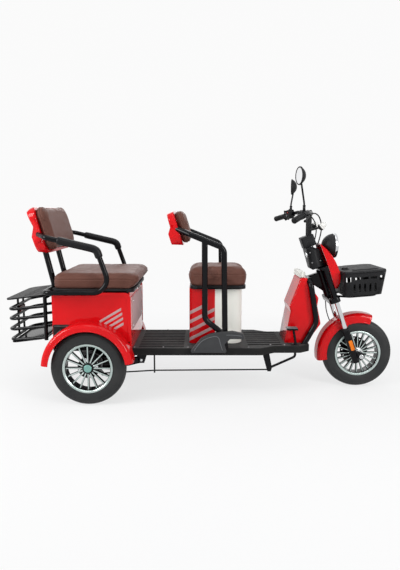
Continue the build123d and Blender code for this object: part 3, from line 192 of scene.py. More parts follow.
# %% Soft lamps
AIM = Vector((0, 0, 0.5))
LAMPS = [
    # name, place, size, watts
    ("overhead_softbox", (0.1, -0.3, 3.7), (3.4, 2.4), 34),
    ("overhead_strip", (-0.1, -1.9, 3.0), (3.2, 0.2), 14),
    ("left_softbox", (-3.2, -1.6, 1.9), (1.3, 1.9), 95),
    ("right_softbox", (2.6, -2.6, 1.9), (1.0, 1.8), 72),
    ("rear_softbox", (-0.6, 3.4, 2.6), (3.0, 2.0), 44),
]
for name, place, size, watts in LAMPS:
    lamp_data = bpy.data.lights.new(name, "AREA")
    lamp_data.shape = "RECTANGLE"
    lamp_data.size, lamp_data.size_y = size
    lamp_data.energy = watts
    lamp = bpy.data.objects.new(name, lamp_data)
    lamp.location = place
    lamp.rotation_euler = (AIM - Vector(place)).to_track_quat("-Z", "Y").to_euler()
    lamp.visible_camera = False
    scene.collection.objects.link(lamp)
print("lamps:", len(LAMPS), "total watts", sum(row[3] for row in LAMPS))

# %% [markdown]
# ## Finishes
# Each finish is a node material on Object coordinates. All of them share three moves: a base colour
# that drifts a little with a slow noise, a roughness that drifts with another, and a fine bump for the
# texture that a fingertip would feel. The hard pieces also round their edges in the shading, as
# moulded and bent parts have no knife edges.


# %% Moves that every finish uses
NOISE_SPAN = (0.3, 0.7)


def open_finish(name, roughness, metal=0.0, coat=0.0, gloss=0.5):
    """A new material with its shader's constant values set: returns it and its node tree."""
    finish = bpy.data.materials.new(name)
    finish.use_nodes = True
    tree = finish.node_tree
    constants = {"Roughness": roughness, "Metallic": metal, "Specular IOR Level": gloss}
    feed(tree, tree.nodes["Principled BSDF"], constants | {"Coat Weight": coat, "Coat Roughness": 0.03})
    add(tree, "TexCoord", name="place")
    print("finish:", name)
    return finish, tree


def clouds(tree, scale, detail=3.0, stretch=(1, 1, 1)):
    """Noise socket, scale in waves a metre, stretched along an axis where stretch is below 1."""
    mapping = add(tree, "Mapping", {"Vector": tree.nodes["place"].outputs["Object"], "Scale": stretch})
    noise = add(tree, "TexNoise", {"Vector": mapping.outputs[0], "Scale": scale, "Detail": detail})
    return noise.outputs["Fac"]


def drift_colour(tree, socket, low, high):
    """Base colour that goes from low to high with a 0 to 1 socket."""
    ramp = add(tree, "ValToRGB", {"Fac": socket})
    for index, colour in enumerate((low, high)):
        ramp.color_ramp.elements[index].position = NOISE_SPAN[index]
        ramp.color_ramp.elements[index].color = (*colour, 1)
    feed(tree, tree.nodes["Principled BSDF"], {"Base Color": ramp.outputs["Color"]})
    return ramp


def drift_roughness(tree, socket, low, high):
    """Roughness that goes from low to high with a 0 to 1 socket."""
    span = {"From Min": NOISE_SPAN[0], "From Max": NOISE_SPAN[1], "To Min": low, "To Max": high}
    spread = add(tree, "MapRange", {"Value": socket} | span)
    feed(tree, tree.nodes["Principled BSDF"], {"Roughness": spread.outputs["Result"]})


def raise_grain(tree, socket, height_mm, edge_mm=0.0):
    """Bump from a 0 to 1 socket, over edges rounded by edge_mm in the shading."""
    bump = add(tree, "Bump", {"Height": socket, "Strength": 1.0, "Distance": height_mm * MM})
    if edge_mm:
        rounded = add(tree, "Bevel", {"Radius": edge_mm * MM}, samples=6)
        feed(tree, bump, {"Normal": rounded.outputs[0]})
    feed(tree, tree.nodes["Principled BSDF"], {"Normal": bump.outputs[0]})


def painted(name, low, high, edge_mm, roughness=(0.07, 0.13), coat=0.18, peel_mm=0.006, gloss=0.11):
    """Gloss paint or moulded gloss plastic, with the faint orange peel of a sprayed coat."""
    finish, tree = open_finish(name, roughness[0], coat=coat, gloss=gloss)
    drift_colour(tree, clouds(tree, 5.0), low, high)
    drift_roughness(tree, clouds(tree, 24.0), *roughness)
    raise_grain(tree, clouds(tree, 420.0, 2.0), peel_mm, edge_mm)
    return finish


def moulded(name, low, high, edge_mm, roughness=(0.42, 0.58), grain_mm=0.12, grain_scale=900.0, gloss=0.16):
    """Grained plastic as it leaves an etched mould, duller where the grain is deep."""
    finish, tree = open_finish(name, roughness[0], gloss=gloss)
    drift_colour(tree, clouds(tree, 9.0), low, high)
    drift_roughness(tree, clouds(tree, 60.0), *roughness)
    raise_grain(tree, clouds(tree, grain_scale, 3.0), grain_mm, edge_mm)
    return finish


# %% [markdown]
# ### Paint and plastic
# The body is a bright, slightly warm red under clear lacquer. The tubes are black powder coat, which
# flows a little less than paint and so has a coarser peel. Seat pans, basket and steering cover are
# grained black plastic, and the foot covers and the floor are the same plastic in dark grey.

# %% Red body, black tubes, plastics
red_paint = painted("red_paint", (0.57, 0.0025, 0.005), (0.64, 0.004, 0.007), 3.0)
red_plastic = painted("red_plastic", (0.55, 0.0025, 0.005), (0.62, 0.004, 0.007), 5.0, (0.08, 0.14))
frame_black = painted(
    "frame_black", (0.002, 0.002, 0.003), (0.004, 0.004, 0.005), 1.5, (0.08, 0.14), 0.12, 0.015, 0.09
)
cream_plastic = painted("cream_plastic", (0.78, 0.77, 0.71), (0.84, 0.83, 0.77), 4.0, (0.3, 0.42))
grey_trim = painted(
    "grey_trim", (0.46, 0.31, 0.31), (0.52, 0.36, 0.36), 1.0, (0.45, 0.6), 0.0, 0.006, 0.06
)
black_plastic = moulded("black_plastic", (0.007, 0.007, 0.008), (0.014, 0.014, 0.015), 2.0)
deck_plastic = moulded(
    "deck_plastic", (0.046, 0.046, 0.047), (0.064, 0.063, 0.061), 2.5, (0.6, 0.75), 0.2, 620.0, 0.06
)
cover_grey = moulded("cover_grey", (0.036, 0.037, 0.039), (0.046, 0.047, 0.049), 4.0, (0.4, 0.55))
line_grey = moulded("line_grey", (0.11, 0.115, 0.12), (0.14, 0.145, 0.15), 0.0, (0.35, 0.5))
grip_rubber = moulded("grip_rubber", (0.005, 0.005, 0.006), (0.009, 0.009, 0.01), 1.0, (0.34, 0.46), 0.08)
# painted shade: near-black matt plastic for the strips that darken the floor's grooves
groove_shade_matt = moulded(
    "groove_shade_matt", (0.004, 0.004, 0.004), (0.007, 0.007, 0.007), 0.0, (0.8, 0.9), 0.1, 900.0, 0.02
)

# %% [markdown]
# The floor's grooves and sides are painted darker than its ridges, as the shade that falls there. Height
# tells them apart, so the colour is scaled by the Z of the Object coordinates just below the tread surface.


# %% Painted shade in the floor's grooves and sides
def darker_below(finish, level, depth_mm, share):
    """Scales a finish's colour down to a share from a level to depth_mm below it."""
    tree = finish.node_tree
    shader = tree.nodes["Principled BSDF"]
    colour = shader.inputs["Base Color"].links[0].from_socket
    height = add(tree, "SeparateXYZ", {0: tree.nodes["place"].outputs["Object"]}).outputs["Z"]
    span = {"From Min": level - depth_mm * MM, "From Max": level, "To Min": share, "To Max": 1.0}
    painted_shade = add(tree, "MapRange", {"Value": height} | span)
    shade = add(tree, "VectorMath", {0: colour, "Scale": painted_shade.outputs["Result"]}, operation="SCALE")
    feed(tree, shader, {"Base Color": shade.outputs[0]})


DECK_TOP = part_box("floor_deck")[1].z
# painted shade: below the tread surface the floor's grooves and sides keep 0.3 of its colour
darker_below(deck_plastic, DECK_TOP - 0.2 * MM, 2.5, 0.3)
print("floor level, mm:", round(DECK_TOP / MM, 1))

# %% [markdown]
# ### Leather
# The seats are covered in brown leathercloth. Its grain is a net of fine creases round pebbles of one
# to two millimetres, which a Voronoi texture gives when its distance to the cell edge is used as
# height. The same height paints the colour: the creases darker, as painted shade, and the pebbles lighter.


# %% Brown leathercloth
PEBBLES_A_METRE = 560.0


def leathercloth(name, crease_shade, pebble):
    """Brown leathercloth with a crease net darkened as painted shade, lighter pebbles and a slow change of tone.
    """
    finish, tree = open_finish(name, 0.5, gloss=0.12)
    feed(tree, tree.nodes["Principled BSDF"], {"Sheen Weight": 0.02, "Sheen Roughness": 0.4})
    sockets = {"Vector": tree.nodes["place"].outputs["Object"], "Scale": PEBBLES_A_METRE}
    pebbles = add(tree, "TexVoronoi", sockets, feature="DISTANCE_TO_EDGE")
    height = add(tree, "MapRange", {"Value": pebbles.outputs["Distance"], "From Max": 0.22}).outputs["Result"]
    shade = add(tree, "Math", {0: clouds(tree, 7.0), 1: 0.6, 2: height}, operation="MULTIPLY_ADD")
    # painted shade: the grain's height darkens the creases in the colour ramp
    ramp = drift_colour(tree, shade.outputs[0], crease_shade, pebble)
    ramp.color_ramp.elements[1].position = 1.0
    drift_roughness(tree, clouds(tree, 30.0), 0.42, 0.58)
    raise_grain(tree, height, 0.16)
    return finish


# the first colour is the creases' painted shade, the second the pebbles'
brown_leather = leathercloth("brown_leather", (0.074, 0.028, 0.020), (0.146, 0.063, 0.047))
print("leather pebble size, mm:", round(1 / PEBBLES_A_METRE / MM, 2))

# %% [markdown]
# ### Metal, rubber and lenses
# Chrome is bright with a little haze, cut aluminium keeps the fine marks of the tool, and the axle is
# grey cast metal. Tyre rubber is never black: it is dark grey with a dusty bloom. The head lamp's lens
# is clear plastic with true refraction, the indicators are milky, and the tail lamp is red.


# %% Metals, tyre rubber and lenses
def metal(name, low, high, roughness, grain_mm=0.01, scale=300.0, stretch=(1, 1, 1), edge_mm=1.0):
    """Bare metal with a drifting shade and the marks of its working."""
    finish, tree = open_finish(name, roughness[0], metal=1.0)
    drift_colour(tree, clouds(tree, 16.0), low, high)
    drift_roughness(tree, clouds(tree, scale, 4.0, stretch), *roughness)
    raise_grain(tree, clouds(tree, scale, 4.0, stretch), grain_mm, edge_mm)
    return finish


def clear_plastic(name, tint, roughness):
    """Clear moulded lens plastic with a very slight ripple."""
    finish, tree = open_finish(name, roughness)
    feed(tree, tree.nodes["Principled BSDF"], {"Transmission Weight": 1.0, "IOR": 1.49})
    drift_colour(tree, clouds(tree, 30.0), tint, tuple(min(1.0, part * 1.03) for part in tint))
    raise_grain(tree, clouds(tree, 90.0), 0.05)
    return finish


chrome = metal("chrome", (0.58, 0.59, 0.60), (0.68, 0.69, 0.70), (0.06, 0.14))
cut_aluminium = metal("cut_aluminium", (0.42, 0.50, 0.48), (0.54, 0.61, 0.59), (0.22, 0.36), 0.02, 260.0)
cast_grey = metal("cast_grey", (0.16, 0.16, 0.165), (0.24, 0.24, 0.245), (0.4, 0.6), 0.2, 180.0)
rim_black = painted("rim_black", (0.003, 0.003, 0.004), (0.006, 0.006, 0.007), 1.5, (0.16, 0.26))
cap_teal = metal("cap_teal", (0.20, 0.40, 0.36), (0.28, 0.50, 0.45), (0.24, 0.34))
mirror_glass = metal("mirror_glass", (0.86, 0.87, 0.88), (0.9, 0.9, 0.91), (0.015, 0.03), 0.002)
tyre_rubber = moulded(
    "tyre_rubber", (0.012, 0.013, 0.014), (0.022, 0.022, 0.022), 0.0, (0.42, 0.6), 0.1, 700.0, 0.3
)
lens_clear = clear_plastic("lens_clear", (0.96, 0.97, 0.98), 0.03)
lens_milky = painted("lens_milky", (0.70, 0.69, 0.66), (0.78, 0.77, 0.74), 1.0, (0.1, 0.18))
lens_red = painted("lens_red", (0.34, 0.006, 0.006), (0.42, 0.01, 0.01), 2.0, (0.12, 0.2))
reflector_amber = painted("reflector_amber", (0.72, 0.16, 0.01), (0.84, 0.22, 0.015), 1.0, (0.16, 0.24))

# %% [markdown]
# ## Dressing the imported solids
# Every solid names the finish it has on the real vehicle through its material slot. One table turns
# those names into the node materials above, so a solid that is repainted in the record is repainted
# here as well. Two solids look different from the others in their slot and are listed by name.

# %% Finishes by slot
FINISHES = {
    "red_paint": red_paint,
    "red_plastic": red_plastic,
    "cream_plastic": cream_plastic,
    "grey_panel": grey_trim,
    "brown_leather": brown_leather,
    "frame_black": frame_black,
    "black_plastic": black_plastic,
    "deck_plastic": deck_plastic,
    "cover_grey": cover_grey,
    "tyre": tyre_rubber,
    "rim": rim_black,
    "chrome": chrome,
    "axle_steel": cast_grey,
    "lens_clear": lens_clear,
    "lens_red": lens_red,
    "rubber": grip_rubber,
}
REPAINTED = {"brake_pedal": frame_black, "rack_shelf": black_plastic}
for row in frame["record"]["subparts"]:
    solid = nodes[row["node"]].data
    solid.materials.clear()
    solid.materials.append(REPAINTED.get(row["node"], FINISHES[row["material_slot"]]))

# %% [markdown]
# ## Making pieces
# A piece starts as a bmesh. `piece` turns it into an object, smooths what is nearly flat, gives it a
# finish and lets it ride on the body that carries it. A few small makers cover most of a vehicle's
# fittings: a plate cut to an outline, a moulded block, a turned part, a round bar, a bolt and a bead.


# %% Finishing a piece
def piece(name, shape, finish, body, crease_shade=32.0):
    """Finishes a bmesh as a named piece that rides on a body."""
    bmesh.ops.remove_doubles(shape, verts=shape.verts, dist=2e-6)
    bmesh.ops.recalc_face_normals(shape, faces=shape.faces)
    mesh = bpy.data.meshes.new(name)
    shape.to_mesh(mesh)
    shape.free()
    mesh.materials.append(finish)
    mesh.shade_smooth()
    mesh.set_sharp_from_angle(angle=radians(crease_shade))
    made = bpy.data.objects.new(name, mesh)
    scene.collection.objects.link(made)
    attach(made, body)
    print(name, "faces", len(mesh.polygons))
    return made


# %% [markdown]
# Plates and blocks come from a flat outline or a cube. The bevel operator rounds them, because nothing
# on a vehicle has a knife edge, and a rounded edge is what catches the light.


# %% Plates and blocks
def soften(shape, parts, width_mm, segments=2, affect="EDGES"):
    """Rounds edges, or the corners of a flat outline, as a moulding or a file would."""
    bmesh.ops.bevel(
        shape,
        geom=parts,
        offset=width_mm * MM,
        offset_type="OFFSET",
        segments=segments,
        profile=0.5,
        affect=affect,
        material=-1,
        clamp_overlap=True,
    )


def oblong(middle, across, up):
    """Corners of a rectangle, from its middle and the vectors to two of its sides."""
    return [middle - across - up, middle + across - up, middle + across + up, middle - across + up]


def plate(shape, corners, thickness, edge_mm=0.0, corner_mm=0.0):
    """Adds a plate: corners are scene points in order, thickness is a vector through the plate."""
    blank = bmesh.new()
    blank.faces.new([blank.verts.new(corner) for corner in corners])
    if corner_mm:
        soften(blank, blank.verts[:], corner_mm, 6, "VERTICES")
    grown = bmesh.ops.extrude_face_region(blank, geom=blank.faces[:])["geom"]
    top = [part for part in grown if isinstance(part, bmesh.types.BMVert)]
    bmesh.ops.translate(blank, verts=top, vec=thickness)
    if edge_mm:
        top_faces = [part for part in grown if isinstance(part, bmesh.types.BMFace)]
        soften(blank, [edge for part in top_faces for edge in part.edges], edge_mm)
    join(shape, blank)


def join(shape, other):
    """Moves everything in another bmesh into this one."""
    carrier = bpy.data.meshes.new("carrier")
    other.to_mesh(carrier)
    other.free()
    shape.from_mesh(carrier)
    bpy.data.meshes.remove(carrier)


def slab(shape, centre, half_sizes, edge_mm):
    """Adds a moulded block with rounded edges: half_sizes are three vectors from its centre to its faces."""
    block = bmesh.new()
    bmesh.ops.create_cube(block, size=2.0)
    for vert in block.verts:
        vert.co = centre + sum((half * share for half, share in zip(half_sizes, vert.co)), Vector())
    soften(block, block.edges[:], edge_mm, 3)
    join(shape, block)


# %% [markdown]
# Whatever comes off a lathe is half a section spun round an axle. Bolts and screws are seated at a
# point and look outwards, so one line of code can put a fastener on any surface.


# %% Turned parts, bars and fasteners
def turned(shape, profile, centre, axle, steps=48, closed=False, start=None, sweep=2 * pi):
    """Adds a turned part: profile is (radius, distance along the axle) in millimetres."""
    axle = Vector(axle).normalized()
    spoke = start or axle.orthogonal().normalized()
    points = [shape.verts.new(centre + (spoke * radius + axle * along) * MM) for radius, along in profile]
    edges = [shape.edges.new(pair) for pair in zip(points, points[1:])]
    if closed:
        edges.append(shape.edges.new((points[-1], points[0])))
    bmesh.ops.spin(
        shape,
        geom=points + edges,
        cent=centre,
        axis=axle,
        dvec=(0, 0, 0),
        angle=sweep,
        steps=steps,
        use_merge=sweep == 2 * pi,
        use_duplicate=False,
    )


def bar(shape, start, end, radius_mm, segments=16, edge_mm=0.0):
    """Adds a round bar between two scene points."""
    run = end - start
    turn = run.to_track_quat("Z", "Y").to_matrix().to_4x4()
    made = bmesh.ops.create_cone(
        shape,
        cap_ends=True,
        segments=segments,
        radius1=radius_mm * MM,
        radius2=radius_mm * MM,
        depth=run.length,
        matrix=Matrix.Translation((start + end) / 2) @ turn,
    )
    if edge_mm:
        rings = {edge for vert in made["verts"] for edge in vert.link_edges}
        ends = [edge for edge in rings if any(len(part.verts) > 4 for part in edge.link_faces)]
        soften(shape, ends, edge_mm)


def bolt(shape, seat, outward, size_mm):
    """Adds a hexagon bolt head on a washer, seated at a scene point."""
    outward = Vector(outward).normalized()
    bar(shape, seat - outward * 0.3 * MM, seat + outward * 1.2 * MM, size_mm * 1.05, 20, 0.3)
    top = seat + outward * (1.2 + size_mm * 0.62) * MM
    bar(shape, seat + outward * 1.1 * MM, top, size_mm * 0.82, 6, 0.5)


def screw(shape, seat, outward, radius_mm):
    """Adds a pan-head screw with a hexagon socket, seated at a scene point."""
    profile = [(0, 0.34), (0.42, 0.34), (0.46, 0.74), (0.66, 0.7), (0.9, 0.44), (1.0, 0.1), (1.0, -0.1)]
    turned(shape, [(r * radius_mm, a * radius_mm) for r, a in profile], seat, outward, 18)


# %% [markdown]
# Hoses, foam sleeves and moulded lines follow a smooth line. A NURBS curve with a round section gives
# that from a few points, and its evaluated mesh can be added to any piece.


# %% Lines and beads
def evaluated_mesh(made):
    """The mesh of an object with its modifiers applied."""
    bpy.context.view_layer.update()
    graph = bpy.context.evaluated_depsgraph_get()
    return bpy.data.meshes.new_from_object(made.evaluated_get(graph))


def smooth_line(name, points, radius_mm, shares=None):
    """Object with a round NURBS line through given points; shares scale the radius at each."""
    line = bpy.data.curves.new(name, "CURVE")
    line.dimensions = "3D"
    line.bevel_depth = radius_mm * MM
    line.bevel_resolution = 4
    line.resolution_u = 8
    line.use_fill_caps = True
    spline = line.splines.new("NURBS")
    spline.points.add(len(points) - 1)
    for place, point, share in zip(spline.points, points, shares or [1.0] * len(points)):
        place.co = (*point, 1)
        place.radius = share
    spline.order_u = 3
    spline.use_endpoint_u = True
    made = bpy.data.objects.new(name, line)
    scene.collection.objects.link(made)
    return made


def bead(shape, points, radius_mm, shares=None):
    """Adds a round bead along a smooth line."""
    holder = smooth_line("bead", points, radius_mm, shares)
    mesh = evaluated_mesh(holder)
    bpy.data.objects.remove(holder)
    shape.from_mesh(mesh)
    bpy.data.meshes.remove(mesh)


# %% [markdown]
# ## Smooth skins
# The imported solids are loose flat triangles, and gloss paint shows every one of them. A copy whose
# corners are merged can be shaded as the curved surface that the triangles stand for: edges up to a
# limit are smoothed, sharper ones stay, and normals weighted by area keep the flat faces flat. Solids
# that get a modelled piece of their own further on are left out, and so is the floor, whose grooves
# have to stay sharp.

# %% Smooth skins over the hard solids
NO_SKIN = {
    "front_tyre", "rear_right_tyre", "rear_left_tyre", "rear_cushion", "driver_cushion", "rear_back_pad",
    "driver_back_pad", "headlamp_lens", "indicators", "rear_arm_pads", "grips", "floor_deck",
}
body_of = {node: body for body, members in frame["record"]["behaviour"]["bodies"].items() for node in members}
skins = 0
for row in frame["record"]["subparts"]:
    node = row["node"]
    if node in NO_SKIN:
        continue
    shape = bmesh.new()
    shape.from_mesh(nodes[node].data)
    bmesh.ops.remove_doubles(shape, verts=shape.verts, dist=1e-5)
    paint = nodes[node].data.materials[0]
    skin = piece(f"{node}_skin", shape, paint, body_of[node], 40)
    flat_faces = skin.modifiers.new("flat_faces", "WEIGHTED_NORMAL")
    flat_faces.keep_sharp = True
    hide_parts(node)
    skins += 1
print("smooth skins:", skins)

# %% [markdown]
# The lines along the floor are much darker than the floor itself. They are painted shade of its grooves:
# dark matt strips lie in the grooves and stand up a little. They are taken to be rubber strips that lie
# in its grooves and stand up a little, so that shoes grip in the wet: a flat dark line could be painted,
# but a strip also shows its edge from the side.

# %% Dark strips in the floor grooves, as painted shade
GROOVES = [
    # rear and front end from the rear axle, half the spread, number
    (262, 515, 200, 11),
    (880, 1075, 150, 7),
]
STRIP_HALF = Vector((0, 7.0, 0)) * MM
STRIP_RISE = Vector((0, 0, 1.2)) * MM
# painted shade: one dark strip in each groove of the floor
strips = bmesh.new()
for rear, front, spread, count in GROOVES:
    half_run = Vector(((front - rear) / 2, 0, 0)) * MM
    for index in range(count):
        side = spread * (2 * index / (count - 1) - 1)
        centre = at((rear + front) / 2, side, DECK_TOP / MM - 0.2)
        slab(strips, centre, (half_run, STRIP_HALF, STRIP_RISE), 0.6)
piece("deck_groove_shade_strips", strips, groove_shade_matt, "chassis", 40)
print("floor strips:", sum(row[3] for row in GROOVES))

# %% [markdown]
# ## Tyres
# Each tyre is turned from half a section: bead, bulging sidewall with two moulded rings, shoulder and
# a crowned tread with two running grooves. A tread could be painted as bump, but its edge against the
# floor and the sky would stay a plain circle, so the cross grooves are pushed in as real faces.

# %% Section of a tyre
CROWN_R = 57.9
TYRE_R = AXLE_Z / MM
BEAD = [(129, 28.2), (134, 32.6), (138, 35.4), (139.5, 35.2), (141, 36.6), (150, 38.6), (160, 39.8)]
WALL = [(168, 40), (176, 39.4), (181, 38.4), (182.2, 38.9), (185, 38.3), (186, 36.9), (192, 34.2)]
WALL += [(196.6, 31.4)]
TREAD_Y = [29, 25, 21, 17, 13, 12.4, 8.6, 8, 4]
RUNNING_GROOVE = (8.5, 12.5)
RUNNING_DEPTH = 4.0


def crown(y):
    """Radius of the tread at a distance from its middle."""
    return TYRE_R - (CROWN_R - (CROWN_R**2 - y**2) ** 0.5)


half = BEAD + WALL
for y in TREAD_Y:
    in_groove = RUNNING_GROOVE[0] < y < RUNNING_GROOVE[1]
    half.append((crown(y) - (RUNNING_DEPTH if in_groove else 0.0), y))
tyre_section = half + [(crown(0), 0)] + [(radius, -y) for radius, y in reversed(half)]
print("tyre section points", len(tyre_section))

# %% [markdown]
# The cross grooves are one step in five round the tyre. They slant outwards over the shoulder, and the
# two halves of the tread are staggered, so that the tyre runs quietly.

# %% Treaded tyres on the three wheels
TREAD_STEPS = 180
TREAD_DEPTH = 3.2
SHOULDER_R = 196
BLOCKS_FROM, BLOCKS_TO = 13, 31
STEPS_A_BLOCK = 5
SLANT = 4.5
STAGGER = 2.5
WHEELS = [
    # tyre node, body, axle x, centre y in mm
    ("rear_right_tyre", "rear_wheel_right", REAR_X, joints["rear_wheel_right_spin"]["pos_m"][1] / MM),
    ("rear_left_tyre", "rear_wheel_left", REAR_X, joints["rear_wheel_left_spin"]["pos_m"][1] / MM),
    ("front_tyre", "front_wheel", FRONT_X, 0.0),
]


def groove_faces(shape, centre):
    """Faces of a plain tyre that the cross grooves take out."""
    cuts = []
    for face in shape.faces:
        middle = face.calc_center_median() - centre
        y = abs(middle.y) / MM
        radius = Vector((middle.x, 0, middle.z)).length / MM
        if radius < SHOULDER_R or not BLOCKS_FROM < y < BLOCKS_TO:
            continue
        turn = Vector((middle.x, middle.z)).angle_signed(Vector((1, 0))) % (2 * pi)
        shift = (y - BLOCKS_FROM) / SLANT
        step = int(turn / (2 * pi) * TREAD_STEPS + shift + (STAGGER if middle.y < 0 else 0))
        if step % STEPS_A_BLOCK == 0:
            cuts.append(face)
    return cuts


for node, body, axle_x, centre_y in WHEELS:
    shape = bmesh.new()
    centre = Vector((axle_x, centre_y * MM, AXLE_Z))
    turned(shape, tyre_section, centre, (0, 1, 0), TREAD_STEPS, closed=True)
    bmesh.ops.remove_doubles(shape, verts=shape.verts, dist=1e-6)
    cuts = groove_faces(shape, centre)
    grown = bmesh.ops.extrude_face_region(shape, geom=cuts)["geom"]
    bmesh.ops.delete(shape, geom=cuts, context="FACES")
    for vert in (part for part in grown if isinstance(part, bmesh.types.BMVert)):
        out = Vector((vert.co.x - centre.x, 0, vert.co.z - centre.z)).normalized()
        vert.co -= out * TREAD_DEPTH * MM
    tyre = piece(f"{body}_treaded_tyre", shape, tyre_rubber, body, 28)
    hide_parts(node)
print("faces in the cross grooves:", len(cuts))

# %% [markdown]
# ## Bright parts of the wheels
# The rims are cast, painted black, and then the faces of the spokes and the rim ring are cut bright.
# The cut faces are separate thin pieces laid over the solid spokes, with the lathe's bevel on them.

# %% Spoke faces and lug nuts
SPOKE_FROM, SPOKE_TO = 31, 123
OUTER_FACE = (15.0, 11.8)
INNER_FACE = (5.0, -1.0)
LUG_RING = [(6.2, 0), (9.8, 0), (10.2, 5), (9.4, 6.4), (7.0, 6.2), (6.2, 4)]
LUG_R = 47


def spoke_faces(shape, centre, out, angle, width, faces):
    """Adds the cut faces of one spoke: each is (distance from the wheel's middle, thickness) along out."""
    along = Vector((cos(angle), 0, sin(angle)))
    across = Vector((-sin(angle), 0, cos(angle)))
    foot_half, tip_half = width * 0.62, width / 2
    outline = [(SPOKE_FROM, -foot_half), (SPOKE_TO, -tip_half), (SPOKE_TO, tip_half), (SPOKE_FROM, foot_half)]
    for distance, thick in faces:
        foot = centre + out * distance * MM
        corners = [foot + (along * radius + across * offset) * MM for radius, offset in outline]
        plate(shape, corners, out * thick * MM, 1.2)


def lug_nuts(shape, centre, out):
    """Adds four wheel bolts, each in a bright ring."""
    for index in range(4):
        angle = radians(11.25 + 90 * index)
        seat = centre + Vector((LUG_R * cos(angle), 0, -out.y * LUG_R * sin(angle))) * MM + out * 20 * MM
        turned(shape, LUG_RING, seat, out, 28, True)
        bolt(shape, seat, out, 6.4)


# %% [markdown]
# The front wheel is seen from both sides, so its ring and spokes are cut on both. The rear wheels hide
# their inner sides and carry teal caps over the axle's ends.

# %% Rim rings, spokes, caps
RIMS = [
    # body, axle x, centre y in mm, outward side, spokes, spoke width, front wheel
    ("rear_wheel_right", REAR_X, WHEELS[0][3], -1, 16, 6.0, False),
    ("rear_wheel_left", REAR_X, WHEELS[1][3], 1, 16, 6.0, False),
    ("front_wheel", FRONT_X, 0.0, -1, 20, 4.6, True),
]
FRONT_NOSE = [(9.2, 41), (12, 43), (20, 41), (25, 33), (26, 27), (34, 26.6), (34.6, 25)]
REAR_NOSE = [(0, 38.2), (10, 37.8), (17, 36.6), (21, 34.6), (22.6, 31), (23, 26.4), (22, 26)]
RING = [(122.5, 33.5), (125.5, 36.4), (127, 37.6), (134, 38.0), (135.8, 37.2), (136.2, 34.4)]
for body, axle_x, centre_y, side, spokes, width, is_front in RIMS:
    centre = Vector((axle_x, centre_y * MM, AXLE_Z))
    out = Vector((0, side, 0))
    shape = bmesh.new()
    turned(shape, RING, centre, out, 96, closed=True)
    if is_front:
        turned(shape, [(radius, -along) for radius, along in RING], centre, out, 96, closed=True)
    faces = [OUTER_FACE, INNER_FACE] if is_front else [OUTER_FACE]
    for index in range(spokes):
        spoke_faces(shape, centre, out, 2 * pi * index / spokes, width, faces)
    piece(f"{body}_cut_faces", shape, cut_aluminium, body)

    shape = bmesh.new()
    nose, cap_finish = (FRONT_NOSE, chrome) if is_front else (REAR_NOSE, cap_teal)
    turned(shape, nose, centre, out, 48)
    piece(f"{body}_hub_cap", shape, cap_finish, body)
    if not is_front:
        shape = bmesh.new()
        lug_nuts(shape, centre, out)
        piece(f"{body}_lug_nuts", shape, chrome, body)
print("spoke faces:", sum(row[4] for row in RIMS))

# %% [markdown]
# ## Seats
# A seat cushion is foam under leathercloth that is pulled down and stapled to the pan, so its top
# crowns, its sides belly out and its corners pull in. A cloth simulation gives that by itself: the
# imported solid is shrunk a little, remeshed evenly, and blown up from inside while its base stays put.
# The sewn seam comes afterwards, pressed into the finer mesh.


# %% Foam blocks
ALL_AXES = {"use_axis_x": True, "use_axis_y": True, "use_axis_z": True}


def with_modifier(made, kind, **values):
    """Adds a modifier, sets its values, applies it to the mesh and returns the object."""
    modifier = made.modifiers.new(kind.lower(), kind)
    for key, value in values.items():
        setattr(modifier, key, value)
    mesh = evaluated_mesh(made)
    made.modifiers.clear()
    made.data = mesh
    return made


def foam_block(name, node, up, shrink, voxel_mm, rounds):
    """A packed cushion as an even, smoothed mesh object, and the level of its base along up."""
    shape = bmesh.new()
    shape.from_mesh(nodes[node].data)
    bmesh.ops.remove_doubles(shape, verts=shape.verts, dist=1e-5)
    base = min(vert.co.dot(up) for vert in shape.verts)
    low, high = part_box(node)
    middle = (low + high) / 2
    middle += up * (base - middle.dot(up))
    for vert in shape.verts:
        vert.co = middle + (vert.co - middle) * shrink
    mesh = bpy.data.meshes.new(name)
    shape.to_mesh(mesh)
    shape.free()
    made = bpy.data.objects.new(name, mesh)
    scene.collection.objects.link(made)
    with_modifier(made, "REMESH", mode="VOXEL", voxel_size=voxel_mm * MM)
    foam = bmesh.new()
    foam.from_mesh(made.data)
    for turn in range(rounds):
        bmesh.ops.smooth_vert(foam, verts=foam.verts, factor=0.5, **ALL_AXES)
    foam.to_mesh(made.data)
    foam.free()
    return made, base


# %% [markdown]
# The cover is a cloth without weight that is pressed out from inside for a few frames. What it swells to
# is held to a limit, so that it stays inside its frame, and its base is laid flat, a hair above the pan.

# %% Cover under pressure
COVER = {
    "use_pressure": True,
    "uniform_pressure_force": 4.0,
    "tension_stiffness": 20,
    "compression_stiffness": 20,
    "bending_stiffness": 2.0,
    "quality": 4,
}
COVER_FRAMES = 20
BASE_GAP = 0.4 * MM
BASE_BAND = 2.5 * MM


def blow_up(made):
    """Runs the cover as a cloth and keeps what it swells to as the mesh."""
    cloth = made.modifiers.new("foam", "CLOTH")
    for key, value in COVER.items():
        setattr(cloth.settings, key, value)
    cloth.settings.effector_weights.gravity = 0.0
    for step in range(1, COVER_FRAMES + 1):
        scene.frame_set(step)
    mesh = evaluated_mesh(made)
    made.modifiers.clear()
    made.data = mesh
    scene.frame_set(1)


def settle(made, rest, up, base, swell_mm):
    """Holds the swelling from the rest places to a limit and lays the base flat."""
    for vert, start in zip(made.data.vertices, rest):
        move = vert.co - start
        if move.length > swell_mm * MM:
            move *= swell_mm * MM / move.length
        place = start + move
        place += up * max(0.0, base + BASE_GAP - place.dot(up))
        if start.dot(up) < base + BASE_BAND:
            place += up * (base + BASE_GAP - place.dot(up))
        vert.co = place


# %% [markdown]
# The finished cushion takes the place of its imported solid. A last subdivision gives the seam enough
# points to be pressed into.


